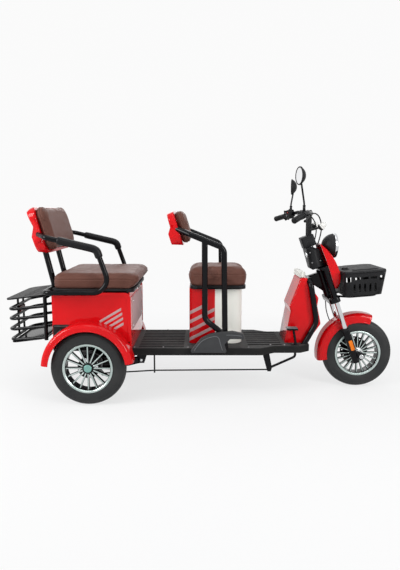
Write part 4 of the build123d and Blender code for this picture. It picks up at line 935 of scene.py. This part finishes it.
# %% Finished cushion
def stuffed(name, node, body, base_normal, shrink, swell_mm, voxel_mm=6.0, rounds=6):
    """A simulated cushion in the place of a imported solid, flat on the side away from base_normal."""
    up = Vector(base_normal).normalized()
    made, base = foam_block(name, node, up, shrink, voxel_mm, rounds)
    rest = [vert.co.copy() for vert in made.data.vertices]
    blow_up(made)
    settle(made, rest, up, base, swell_mm)
    with_modifier(made, "SUBSURF", levels=1, render_levels=1)
    made.data.materials.clear()
    made.data.materials.append(brown_leather)
    made.data.shade_smooth()
    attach(made, body)
    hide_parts(node)
    print(name, "faces", len(made.data.polygons))
    return made


# %% [markdown]
# The bench and the driver's seat lie flat on their pans. The two backs lean, so their foam swells along
# the direction that their faces look.

# %% Four cushions
REAR_LEAN = radians(16)
DRIVER_LEAN = radians(17)
rear_back_up = Vector((cos(REAR_LEAN), 0, sin(REAR_LEAN)))
driver_back_up = Vector((cos(DRIVER_LEAN), 0, sin(DRIVER_LEAN)))
rear_seat = stuffed("bench_cushion", "rear_cushion", "rear_seat", (0, 0, 1), 0.99, 9.0, 6.0, 12)
driver_seat = stuffed("driver_cushion_padded", "driver_cushion", "driver_seat", (0, 0, 1), 0.99, 9.0, 5.0, 9)
rear_back = stuffed("bench_back_cushion", "rear_back_pad", "chassis", rear_back_up, 1.0, 9.0, 5.0)
driver_back = stuffed("driver_back_cushion", "driver_back_pad", "chassis", driver_back_up, 1.0, 9.0, 4.0)

# %% [markdown]
# The top panel of each cushion is sewn to a side band. The stitching pulls the cover into the foam, so
# a narrow valley runs all the way round with a soft roll on each side of it.


# %% Sewn seams
def press_seam(made, normal, level, depth_mm=2.2, width_mm=3.2):
    """Presses a sewn seam round a cushion where it crosses a plane at a level along normal."""
    normal = Vector(normal).normalized()
    outward = [vert.normal.copy() for vert in made.data.vertices]
    pressed = 0
    for vert, out in zip(made.data.vertices, outward):
        off = (vert.co.dot(normal) - level) / MM
        if abs(off) < 4 * width_mm and abs(out.dot(normal)) < 0.85:
            valley = exp(-((off / width_mm) ** 2))
            roll = exp(-(((abs(off) - 2.2 * width_mm) / width_mm) ** 2))
            vert.co += out * depth_mm * MM * (0.5 * roll - valley)
            pressed += 1
    made.data.update()
    print(made.name, "points in the seam:", pressed)


press_seam(rear_seat, (0, 0, 1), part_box("rear_cushion")[1].z - 26 * MM)
press_seam(driver_seat, (0, 0, 1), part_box("driver_cushion")[1].z - 36 * MM)
for made, up in ((rear_back, rear_back_up), (driver_back, driver_back_up)):
    face = max(vert.co.dot(up) for vert in made.data.vertices)
    press_seam(made, up, face - 26 * MM)

# %% [markdown]
# ## Stripes and panels
# The sides of the rear body carry slanted pale stripes, and so does the red half of the driver's box,
# where they run on round its rear corner. They are film, a fraction of a millimetre thick. A stripe
# that bends is easiest from a flat grid: each column of the grid is moved to its place along the wall,
# and the sheet then gets its thickness.


# %% Flat stripes
def slanted(shape, low, high, height_mm, side_y, proud_mm=0.5):
    """Adds one slanted stripe between two (x, z) points in millimetres on a flat side."""
    side = 1 if side_y > 0 else -1
    corners = [
        at(low[0], side_y, low[1]),
        at(high[0], side_y, high[1]),
        at(high[0], side_y, high[1] + height_mm),
        at(low[0], side_y, low[1] + height_mm),
    ]
    plate(shape, corners, Vector((0, side * proud_mm * MM, 0)), 0.15)


# %% [markdown]
# The stripes on the box count their way along its wall: forward along the flat side, and backward round
# the corner. `box_wall` turns that run into a place.

# %% Stripes that go round a corner
BOX_REAR_X = (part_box("driver_box")[0].x - REAR_X) / MM
BOX_SIDE_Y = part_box("driver_box")[1].y / MM
BOX_CORNER_R = 28.0


def box_wall(run_mm, side, proud_mm):
    """Place (x, y) on the driver's box: run_mm counts forward from where its rear corner ends."""
    x, y = BOX_REAR_X + BOX_CORNER_R + run_mm, BOX_SIDE_Y + proud_mm
    if run_mm < 0:
        turn = -run_mm / BOX_CORNER_R
        x = BOX_REAR_X + BOX_CORNER_R - (BOX_CORNER_R + proud_mm) * sin(turn)
        y = BOX_SIDE_Y - BOX_CORNER_R + (BOX_CORNER_R + proud_mm) * cos(turn)
    return x, side * y


def wrapped(shape, start_mm, end_mm, z_start, slope, height_mm, side):
    """Adds a stripe that follows the wall of the driver's box round its rear corner."""
    film = bmesh.new()
    bmesh.ops.create_grid(film, x_segments=26, y_segments=1, size=1.0)
    for vert in film.verts:
        run = start_mm + (end_mm - start_mm) * (vert.co.x + 1) / 2
        x, y = box_wall(run, side, 0.15)
        vert.co = at(x, y, z_start + slope * (run - start_mm) + height_mm * (vert.co.y + 1) / 2)
    bmesh.ops.recalc_face_normals(film, faces=film.faces)
    bmesh.ops.solidify(film, geom=film.faces[:], thickness=0.35 * MM)
    join(shape, film)


# %% [markdown]
# Both sides carry the same stripes, four on the rear body and four on the box.

# %% Stripes on both sides
body_side_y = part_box("rear_sides")[1].y / MM - 2.5
BODY_STRIPES = [
    # rear x, rear z, front x, front z
    (60, 444, 178, 514),
    (82, 428, 184, 489),
    (106, 413, 188, 462),
    (131, 399, 190, 434),
]
BOX_STRIPES = [
    # start and end along the wall, z at the start
    (-40, 74, 452),
    (-40, 117, 399),
    (-40, 117, 347),
    (-40, 117, 298),
]
for side, word in ((-1, "right"), (1, "left")):
    shape = bmesh.new()
    for x0, z0, x1, z1 in BODY_STRIPES:
        slanted(shape, (x0, z0), (x1, z1), 15, side * body_side_y)
    piece(f"body_stripes_{word}", shape, grey_trim, "chassis")
    shape = bmesh.new()
    for start, end, z_start in BOX_STRIPES:
        wrapped(shape, start, end, z_start, 0.52, 20, side)
    piece(f"box_stripes_{word}", shape, grey_trim, "chassis", 50)
print("stripes a side:", len(BODY_STRIPES) + len(BOX_STRIPES))

# %% [markdown]
# A dark corner piece with two moulded lines fills the body behind the wheel arch.

# %% Corner pieces
for side, word in ((-1, "right"), (1, "left")):
    shape = bmesh.new()
    corners = [at(x, side * body_side_y, z) for x, z in ((-195, 436), (-92, 436), (-150, 402), (-195, 362))]
    plate(shape, corners, Vector((0, side * 2.2 * MM, 0)), 1.0, 6.0)
    piece(f"corner_infill_{word}", shape, black_plastic, "chassis")
    shape = bmesh.new()
    for low, high in (((-188, 428), (-112, 428)), ((-188, 376), (-152, 410))):
        ends = [at(x, side * (body_side_y + 2.2), z) for x, z in (low, high)]
        bar(shape, *ends, 1.4, 10)
    piece(f"corner_lines_{word}", shape, line_grey, "chassis")

# %% [markdown]
# A paler panel with rounded corners is set in the front of the rear body and held by four screws.

# %% Front panel
shape = bmesh.new()
PANEL_X, PANEL_THICK = 230.0, 2.4
PANEL_HALF = (226, 91)
corners = oblong(at(PANEL_X, 0, 485), Vector((0, PANEL_HALF[0], 0)) * MM, Vector((0, 0, PANEL_HALF[1])) * MM)
plate(shape, corners, Vector((PANEL_THICK * MM, 0, 0)), 1.0, 26.0)
piece("front_face_panel", shape, grey_trim, "chassis")
shape = bmesh.new()
for y in (-206, 206):
    for z in (414, 556):
        screw(shape, at(PANEL_X + PANEL_THICK, y, z), (1, 0, 0), 5.0)
piece("front_face_screws", shape, chrome, "chassis")
print("panel on the rear body, mm:", [2 * half for half in PANEL_HALF])

# %% [markdown]
# ## Head lamp, indicators and mirrors
# The lamp is a black bowl with a bright ring. Behind its domed lens sits a polished dish with a bulb;
# the dish is what gives a lamp its depth, as clear plastic over a flat back looks like a painted disc.

# %% Head lamp
LAMP = Vector((FRONT_X - 160 * MM, 0, 848 * MM))
LAMP_DISH = [(0, 2.4), (10, 2.6), (26, 4.0), (46, 7.0), (62, 12.2), (64, 10.5), (46, 5.2), (0, 1.2)]
LAMP_BULB = [(0, 20), (4, 19), (6.5, 15), (6.5, 4), (9, 2.6)]
LAMP_LENS = [(0, 28), (18, 27), (36, 23.4), (52, 17), (63, 10.4), (66, 8.4)]
LAMP_LENS += [(64.6, 8.0), (51, 15), (35.5, 21.4), (18, 25), (0, 26)]
LAMP_RING = [(64, 7.6), (66.5, 11.2), (70.6, 11.8), (72.6, 8), (72.6, -3), (70.2, -4), (69.2, 2), (66, 4)]
LAMP_PARTS = [
    # name, profile, steps, closed profile, finish, slot, crease
    ("lamp_dish", LAMP_DISH, 64, False, chrome, "chrome", 32),
    ("lamp_bulb", LAMP_BULB, 24, False, grey_trim, "lens_clear", 32),
    ("lamp_lens", LAMP_LENS, 72, False, lens_clear, "lens_clear", 60),
    ("lamp_ring", LAMP_RING, 72, True, chrome, "chrome", 32),
]
for name, profile, steps, closed, finish, slot, crease_shade in LAMP_PARTS:
    shape = bmesh.new()
    turned(shape, profile, LAMP, (1, 0, 0), steps, closed)
    made = piece(name, shape, finish, "steering", crease_shade)
    if name == "lamp_lens":
        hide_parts("headlamp_lens")

# %% [markdown]
# Each indicator is a turned bowl with a milky lens, on a stalk that leans out and forward from the stem.

# %% Indicators
INDICATOR_BACK = [(0, -14), (10, -13), (17, -8), (20.5, 0), (20.5, 3), (19, 3.4)]
INDICATOR_LENS = [(20, 3), (19.4, 12), (16.5, 22), (11, 31), (5, 36.5), (0, 38)]
stalks, glasses, backs = bmesh.new(), bmesh.new(), bmesh.new()
for side in (-1, 1):
    root = steered(14, side * 30, 250)
    tip = steered(60, side * 92, 252)
    run = (tip - root).normalized()
    bar(stalks, root, tip, 6.5, 16, 1.5)
    nose = (STEER_AHEAD * 0.9 + Vector((0, side * 0.25, 0)) + STEER_UP * 0.35).normalized()
    centre = tip + run * 4 * MM
    turned(backs, INDICATOR_BACK, centre, nose, 32)
    turned(glasses, INDICATOR_LENS, centre, nose, 32)
stalk = piece("indicator_stalks", stalks, black_plastic, "steering")
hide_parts("indicators")
piece("indicator_backs", backs, black_plastic, "steering")
piece("indicator_lenses", glasses, lens_milky, "steering", 60)

# %% [markdown]
# The mirrors get real reflecting glass, slightly domed, in a black rim. Glass and rim are turned parts
# that lie on the rear face of each mirror head and share its angle.

# %% Mirrors
MIRROR_TOE = radians(13)
MIRROR_HEADS = [(-416, -276, 1232), (-357, 276, 1200)]
MIRROR_GLASS = [(0, 0.9), (30, 0.7), (45, 0.2), (45, -0.6), (0, -0.5)]
MIRROR_RIM = [(41.5, 0.5), (42.6, 2.0), (46.6, 2.0), (48.8, -0.6), (48.6, -5), (44, -1)]
glass, rims = bmesh.new(), bmesh.new()
for x, y, z in MIRROR_HEADS:
    outward = 1 if y > 0 else -1
    back = Vector((-cos(MIRROR_TOE), outward * sin(MIRROR_TOE), 0))
    face = Vector((FRONT_X + x * MM, y * MM, z * MM)) + back * 8 * MM
    turned(glass, MIRROR_GLASS, face, back, 64)
    turned(rims, MIRROR_RIM, face, back, 64, True)
piece("mirror_glass", glass, mirror_glass, "steering", 60)
piece("mirror_rims", rims, black_plastic, "steering")

# %% [markdown]
# ## Arm pads and grips
# Foam sleeves cover the upper run of each arm tube and go round the bend. A line along the tube with a
# radius that falls off at its ends gives the soft, rolled ends of foam. The hand grips are turned
# rubber with rings for the fingers and a flange at the inner end.

# %% Foam sleeves on the arms
ARM_Y = 326.0
SLEEVE = [
    # x, z along the tube, share of the radius
    (-142, 896.4, 0.80),
    (-139, 895.7, 0.94),
    (-128, 893.1, 1.02),
    (-60, 877.3, 1.0),
    (2, 862.9, 1.0),
    (62, 849.0, 1.02),
    (73, 816.0, 1.02),
    (76, 808.0, 0.94),
    (77, 805.4, 0.80),
]
shape = bmesh.new()
for side in (-1, 1):
    points = [at(x, side * ARM_Y, z) for x, z, share in SLEEVE]
    bead(shape, points, 21.0, [share for x, z, share in SLEEVE])
sleeves = piece("arm_sleeves", shape, grip_rubber, "chassis", 60)
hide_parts("rear_arm_pads")
print("sleeve faces", len(sleeves.data.polygons))

# %% [markdown]
# A grip is one long profile: a rounded end, the rings, and the flange that stops the thumb.

# %% Ringed grips
GRIP_END = (1100.0, 322.0, 1000.0)
BAR_SHOULDER = (1204.0, 150.0, 1042.0)
GRIP_RINGS = 13
GRIP_RING = [(15.0, 0), (16.2, 1.4), (16.4, 3.4), (15.9, 5.0), (15.0, 5.8)]


def grip_line(side):
    """End of a grip and the direction of the bar inwards from it."""
    end = at(GRIP_END[0], side * GRIP_END[1], GRIP_END[2])
    inner = at(BAR_SHOULDER[0], side * BAR_SHOULDER[1], BAR_SHOULDER[2])
    return end, (inner - end).normalized()


grip_profile = [(0, -8), (11, -8), (15.5, -6), (17, -3), (16.6, 1), (15.2, 3)]
for ring in range(GRIP_RINGS):
    start = 6 + 7.4 * ring
    grip_profile += [(radius, start + along) for radius, along in GRIP_RING]
grip_profile += [(15.2, 104), (18.2, 106), (18.8, 109), (18.2, 113), (16.5, 115), (0, 115)]
shape = bmesh.new()
for side in (-1, 1):
    end, inward = grip_line(side)
    turned(shape, grip_profile, end, inward, 40)
grips = piece("ringed_grips", shape, grip_rubber, "steering", 40)
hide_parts("grips")
print("rings on a grip:", GRIP_RINGS)

# %% [markdown]
# ## Hand controls
# Beside each grip a clamp carries the lever and a switch pod with its buttons. Pods are moulded blocks
# with rounded edges; the buttons are small turned caps in grey and red.

# %% Switch pods, buttons, lever ends and the bar clamp
LEVER_BALL = [(0, 8), (4.4, 6.8), (7.2, 3.6), (8, 0), (7.2, -3.6), (4.4, -6.8), (0, -8)]
CLAMP = [(11.2, -24), (17, -24), (19, -21.5), (19, 21.5), (17, 24), (11.2, 24)]
pods, caps, red_buttons, levers, clamp = (bmesh.new() for part in range(5))
for side in (-1, 1):
    end, inward = grip_line(side)
    rider = (Vector((-1, 0, 0)) + inward * inward.x).normalized()
    upward = inward.cross(rider) * (1 if inward.cross(rider).z > 0 else -1)
    middle = end + inward * 141 * MM
    pod_half = (inward * 23 * MM, rider * 15 * MM, upward * 23 * MM)
    slab(pods, middle + (rider * 15 - upward * 3) * MM, pod_half, 5.0)
    for offset, rise, radius, target in ((-9, 8, 5.0, caps), (7, 9, 4.2, red_buttons), (-2, -9, 6.0, caps)):
        seat = middle + (inward * offset + rider * 30 + upward * (rise - 3)) * MM
        profile = [(0, 4.2), (0.6 * radius, 4.0), (0.92 * radius, 3.2), (radius, 1.6), (radius, -1)]
        turned(target, profile, seat, rider, 24)
    tip = end + Vector((48, 0, -8)) * MM + inward * 20 * MM
    turned(levers, LEVER_BALL, tip, inward, 24)
    pivot = end + inward * 135 * MM + Vector((33, 0, 4)) * MM
    bolt(levers, pivot, (0, 0, 1), 5.5)
    foot = end + inward * 141 * MM + Vector((0, 0, 24)) * MM
    for low, high, radius, sides in ((-5, 5, 9.0, 6), (5, 21, 7.6, 20), (21, 28, 8.8, 6)):
        bar(clamp, foot + Vector((0, 0, low * MM)), foot + Vector((0, 0, high * MM)), radius, sides, 0.8)
bar_middle = at(1242, 0, 1035)
turned(clamp, CLAMP, bar_middle, (0, 1, 0), 40, True)
for y in (-15, 15):
    for x in (-9, 9):
        bolt(clamp, bar_middle + Vector((x, y, 16.6)) * MM, (0, 0, 1), 4.0)
piece("switch_pods", pods, black_plastic, "steering", 40)
piece("switch_buttons", caps, line_grey, "steering", 40)
piece("switch_buttons_red", red_buttons, lens_red, "steering", 40)
piece("lever_ends", levers, black_plastic, "steering", 40)
piece("bar_clamp", clamp, frame_black, "steering", 40)

# %% [markdown]
# ## Control cables
# A cable is held at both ends and bows between them. Each leaves its lever, swings out in front of the
# stem and goes down into the steering cover. The front brake's hose leaves the fork crown and runs
# behind the left leg to the brake. The points are listed and a NURBS line smooths them.

# %% Cables on the steering
LEVER_ROUTE = [(1206, 196, 1030), (1226, 176, 1037), (1256, 136, 1034), (1284, 96, 1012)]
LEVER_ROUTE += [(1303, 68, 962), (1299, 55, 900), (1279, 52, 833)]
HOSE_ROUTE = [(1370, 62, 515), (1374, 66, 490), (1379, 74, 450), (1398, 80, 395)]
HOSE_ROUTE += [(1424, 76, 340), (1449, 70, 302), (1470, 64, 280)]
CABLES = [
    # name, diameter in mm, length in m, route in mm from the rear axle, side
    ("lever_cable_right", 7.0, 0.322, LEVER_ROUTE, -1),
    ("lever_cable_left", 7.0, 0.322, LEVER_ROUTE, 1),
    ("front_brake_hose", 6.0, 0.262, HOSE_ROUTE, 1),
]
for name, thick, length, points, side in CABLES:
    route = [at(x, side * y, z) for x, y, z in points]
    cable = smooth_line(name, route, thick / 2)
    cable.data.materials.append(black_plastic)
    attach(cable, "steering")
    print(name, "length, m:", length)

# %% [markdown]
# ## Steering head and fork
# The cover under the bar carries the ignition lock on the rider's side and screws along its edges. The
# fork has dust seals where the bright tubes enter the lower legs, amber reflectors on their outer
# sides, and a nut on each end of the axle.

# %% Ignition lock and cover screws
locks, slots, screws = bmesh.new(), bmesh.new(), bmesh.new()
lock_place = steered(-48.3, -20, 118)
rearward = -STEER_AHEAD
lock_profile = [(0, 2.4), (6.5, 2.4), (8.5, 3.0), (9.5, 5.2), (13.5, 5.0), (15.5, 2.6), (15.5, -3)]
turned(locks, lock_profile, lock_place, rearward, 40)
key_half = (STEER_AHEAD * 1.2 * MM, Vector((0, 1.1 * MM, 0)), STEER_UP * 4.4 * MM)
slab(slots, lock_place + rearward * 2.2 * MM, key_half, 0.3)
for side in (-1, 1):
    for ahead_mm, rise in ((-34, 130), (-40, 70), (8, 66)):
        screw(screws, steered(ahead_mm, side * 62, rise), (0, side, 0), 5.2)
piece("ignition_lock", locks, chrome, "steering", 40)
piece("ignition_slot", slots, black_plastic, "steering")
piece("cover_screws", screws, cast_grey, "steering", 40)

# %% [markdown]
# The reflectors are plates in dark frames, set on the outer sides of the lower legs along the fork.

# %% Seals, reflectors, axle nuts and brake bolts on the fork
seals, frames, ambers, nuts = bmesh.new(), bmesh.new(), bmesh.new(), bmesh.new()
SEAL = [(13.8, 5), (16.5, 5), (18.5, 2.5), (21.4, 0.5), (21.8, -5), (21.0, -9), (20.1, -9.4)]
for side in (-1, 1):
    out = Vector((0, side, 0))
    turned(seals, SEAL, steered(16, side * 84, -361), STEER_UP, 40)
    middle = steered(16, side * 103.0, -461)
    for target, half_up, half_across, thick in ((frames, 34, 14.5, 4.0), (ambers, 30.5, 11, 7.5)):
        corners = oblong(middle, STEER_AHEAD * half_across * MM, STEER_UP * half_up * MM)
        plate(target, corners, out * thick * MM, 1.2, 5.0)
    bolt(nuts, at(WHEELBASE, side * 113.6, 206), out, 11.0)
for rise in (24, 76):
    bolt(nuts, at(WHEELBASE - 40 - rise * 0.45, 72, 206 + rise), (0, 1, 0), 5.0)
piece("fork_seals", seals, black_plastic, "steering", 40)
piece("reflector_frames", frames, black_plastic, "steering", 40)
piece("fork_reflectors", ambers, reflector_amber, "steering", 40)
piece("axle_nuts", nuts, chrome, "steering", 40)

# %% [markdown]
# ## Guards
# Sheet metal and moulded guards end in a rolled edge: it stiffens the sheet and takes the sharpness off.
# A small circle spun part of a turn round the axle is all such a bead needs.

# %% Rolled edges on the guards
def rolled_edge(shape, centre, radius, side_mm, bead_mm, start_deg, sweep_deg):
    """Adds a bead round an axle along Y: angles count up from straight ahead."""
    ring = [
        (radius + bead_mm * cos(pi * step / 5), -side_mm + bead_mm * sin(pi * step / 5))
        for step in range(10)
    ]
    spoke = Vector((cos(radians(start_deg)), 0, sin(radians(start_deg))))
    turned(shape, ring, centre, (0, -1, 0), 60, True, spoke, radians(sweep_deg))


shape = bmesh.new()
for side in (-1, 1):
    rolled_edge(shape, Vector((REAR_X, 0, AXLE_Z)), 212.5, side * 370.0, 3.4, 8.3, 166.4)
piece("fender_edges", shape, red_paint, "chassis", 60)
shape = bmesh.new()
for side in (-1, 1):
    rolled_edge(shape, Vector((FRONT_X, 0, AXLE_Z)), 191.5, side * 55.0, 2.6, 72.3, 117.4)
piece("guard_edges", shape, red_plastic, "steering", 60)
shape = bmesh.new()
for side in (-1, 1):
    for x, z in ((-96, 356), (-82, 374)):
        screw(shape, at(WHEELBASE + x, side * 64.2, z), (0, side, 0), 5.0)
piece("guard_screws", shape, chrome, "steering", 40)

# %% [markdown]
# ## Floor, pedal and foot covers
# The brake pedal wears a grey tread plate: a thin plate with rounded corners and a row of half-sunk bars
# for ribs.

# %% Pedal plate
shape = bmesh.new()
PEDAL_HALF = Vector((29, 26)) * MM
pedal = at(WHEELBASE - 418, -150, 388)
corners = oblong(pedal, Vector((PEDAL_HALF.x, 0, 0)), Vector((0, PEDAL_HALF.y, 0)))
plate(shape, corners, Vector((0, 0, 2.5 * MM)), 0.8, 6.0)
rib_half = Vector((0, PEDAL_HALF.y - 6 * MM, 0))
for rib in range(6):
    middle = pedal + Vector((-22 + 8.8 * rib, 0, 2.4)) * MM
    bar(shape, middle - rib_half, middle + rib_half, 2.2, 12, 0.6)
piece("pedal_plate", shape, line_grey, "chassis", 40)

# %% [markdown]
# The foot covers have a moulded line that repeats their outline, and pan-head screws hold the floor to
# the frame.

# %% Cover lines and floor screws
COVER_LINE = [(574, 284), (596, 318), (622, 344), (664, 362), (706, 366), (716, 336), (730, 286)]
shape = bmesh.new()
for side in (-1, 1):
    bead(shape, [at(x, side * 262, z) for x, z in COVER_LINE], 2.0)
    bead(shape, [at(x, side * 262, z) for x, z in ((752, 372), (790, 374), (836, 366))], 1.8)
piece("foot_cover_lines", shape, line_grey, "chassis", 60)

shape = bmesh.new()
for side in (-1, 1):
    for x, y in ((238, 212), (400, 212), (540, 212), (880, 212), (1010, 158), (1090, 158)):
        screw(shape, at(x, side * y, 290), (0, 0, 1), 5.5)
piece("floor_screws", shape, cast_grey, "chassis", 40)

# %% [markdown]
# ## Axle, hinges and rear end
# The motor's casing has cooling fins and a ring of bolts, the trailing arms turn on bolts, and the two
# seat hinges show the heads of their pins. The fins are rings turned round the motor's axle.

# %% Motor fins, pivot bolts, hinge pins
DRUM_RIB = [(57.5, -3), (61.5, -2.4), (61.5, 2.4), (57.5, 3)]
fins, bolts, pins = bmesh.new(), bmesh.new(), bmesh.new()
motor = at(40, 0, 186)
for place in range(8):
    y = 22 + 9.5 * place
    turned(fins, [(65, y - 1.6), (71.5, y - 1.1), (71.5, y + 1.1), (65, y + 1.6)], motor, (0, 1, 0), 56, True)
for index in range(6):
    angle = 2 * pi * index / 6
    bolt(bolts, motor + Vector((54 * cos(angle), 104, 54 * sin(angle))) * MM, (0, 1, 0), 5.0)
for side in (-1, 1):
    turned(fins, DRUM_RIB, at(0, side * 232, 206), (0, 1, 0), 56, True)
    for y, out in ((188, 1), (128, -1)):
        bolt(bolts, at(272, side * y, 209), (0, side * out, 0), 7.5)
for x in (239, 857):
    for side in (-1, 1):
        turned(pins, [(0, 2.4), (3.4, 2.0), (4.6, 0.8), (4.6, -0.6)], at(x, side * 58, 602), (0, side, 0), 20)
piece("motor_fins", fins, cast_grey, "chassis", 40)
piece("pivot_bolts", bolts, chrome, "chassis", 40)
piece("hinge_pins", pins, chrome, "chassis", 40)

# %% [markdown]
# The tail lamp is a red moulding in a bright frame. Its upright ribs are half-sunk round bars, and
# pan-head screws hold the rear panel.

# %% Tail lamp ribs and rear panel fasteners
LAMP_FRAME = [(-32, 463, 32, 463), (-32, 491, 32, 491), (-35, 465, -35, 489), (35, 465, 35, 489)]
ribs, frame_bars, fasteners = bmesh.new(), bmesh.new(), bmesh.new()
for place in range(13):
    y = -27 + 4.5 * place
    bar(ribs, at(-473.4, y, 467), at(-473.4, y, 487), 1.9, 10, 0.5)
for y0, z0, y1, z1 in LAMP_FRAME:
    bar(frame_bars, at(-469.6, y0, z0), at(-469.6, y1, z1), 2.0, 12, 0.6)
for y in (-262, -90, 90, 262):
    for z in (322, 590):
        screw(fasteners, at(-197, y, z), (-1, 0, 0), 5.5)
piece("tail_lamp_ribs", ribs, lens_red, "chassis", 40)
piece("tail_lamp_frame", frame_bars, chrome, "chassis", 40)
piece("rear_panel_screws", fasteners, cast_grey, "chassis", 40)

# %% [markdown]
# ## Size
# The looks stand only a little proud of the imported solids.

# %% Finish
bpy.context.view_layer.update()
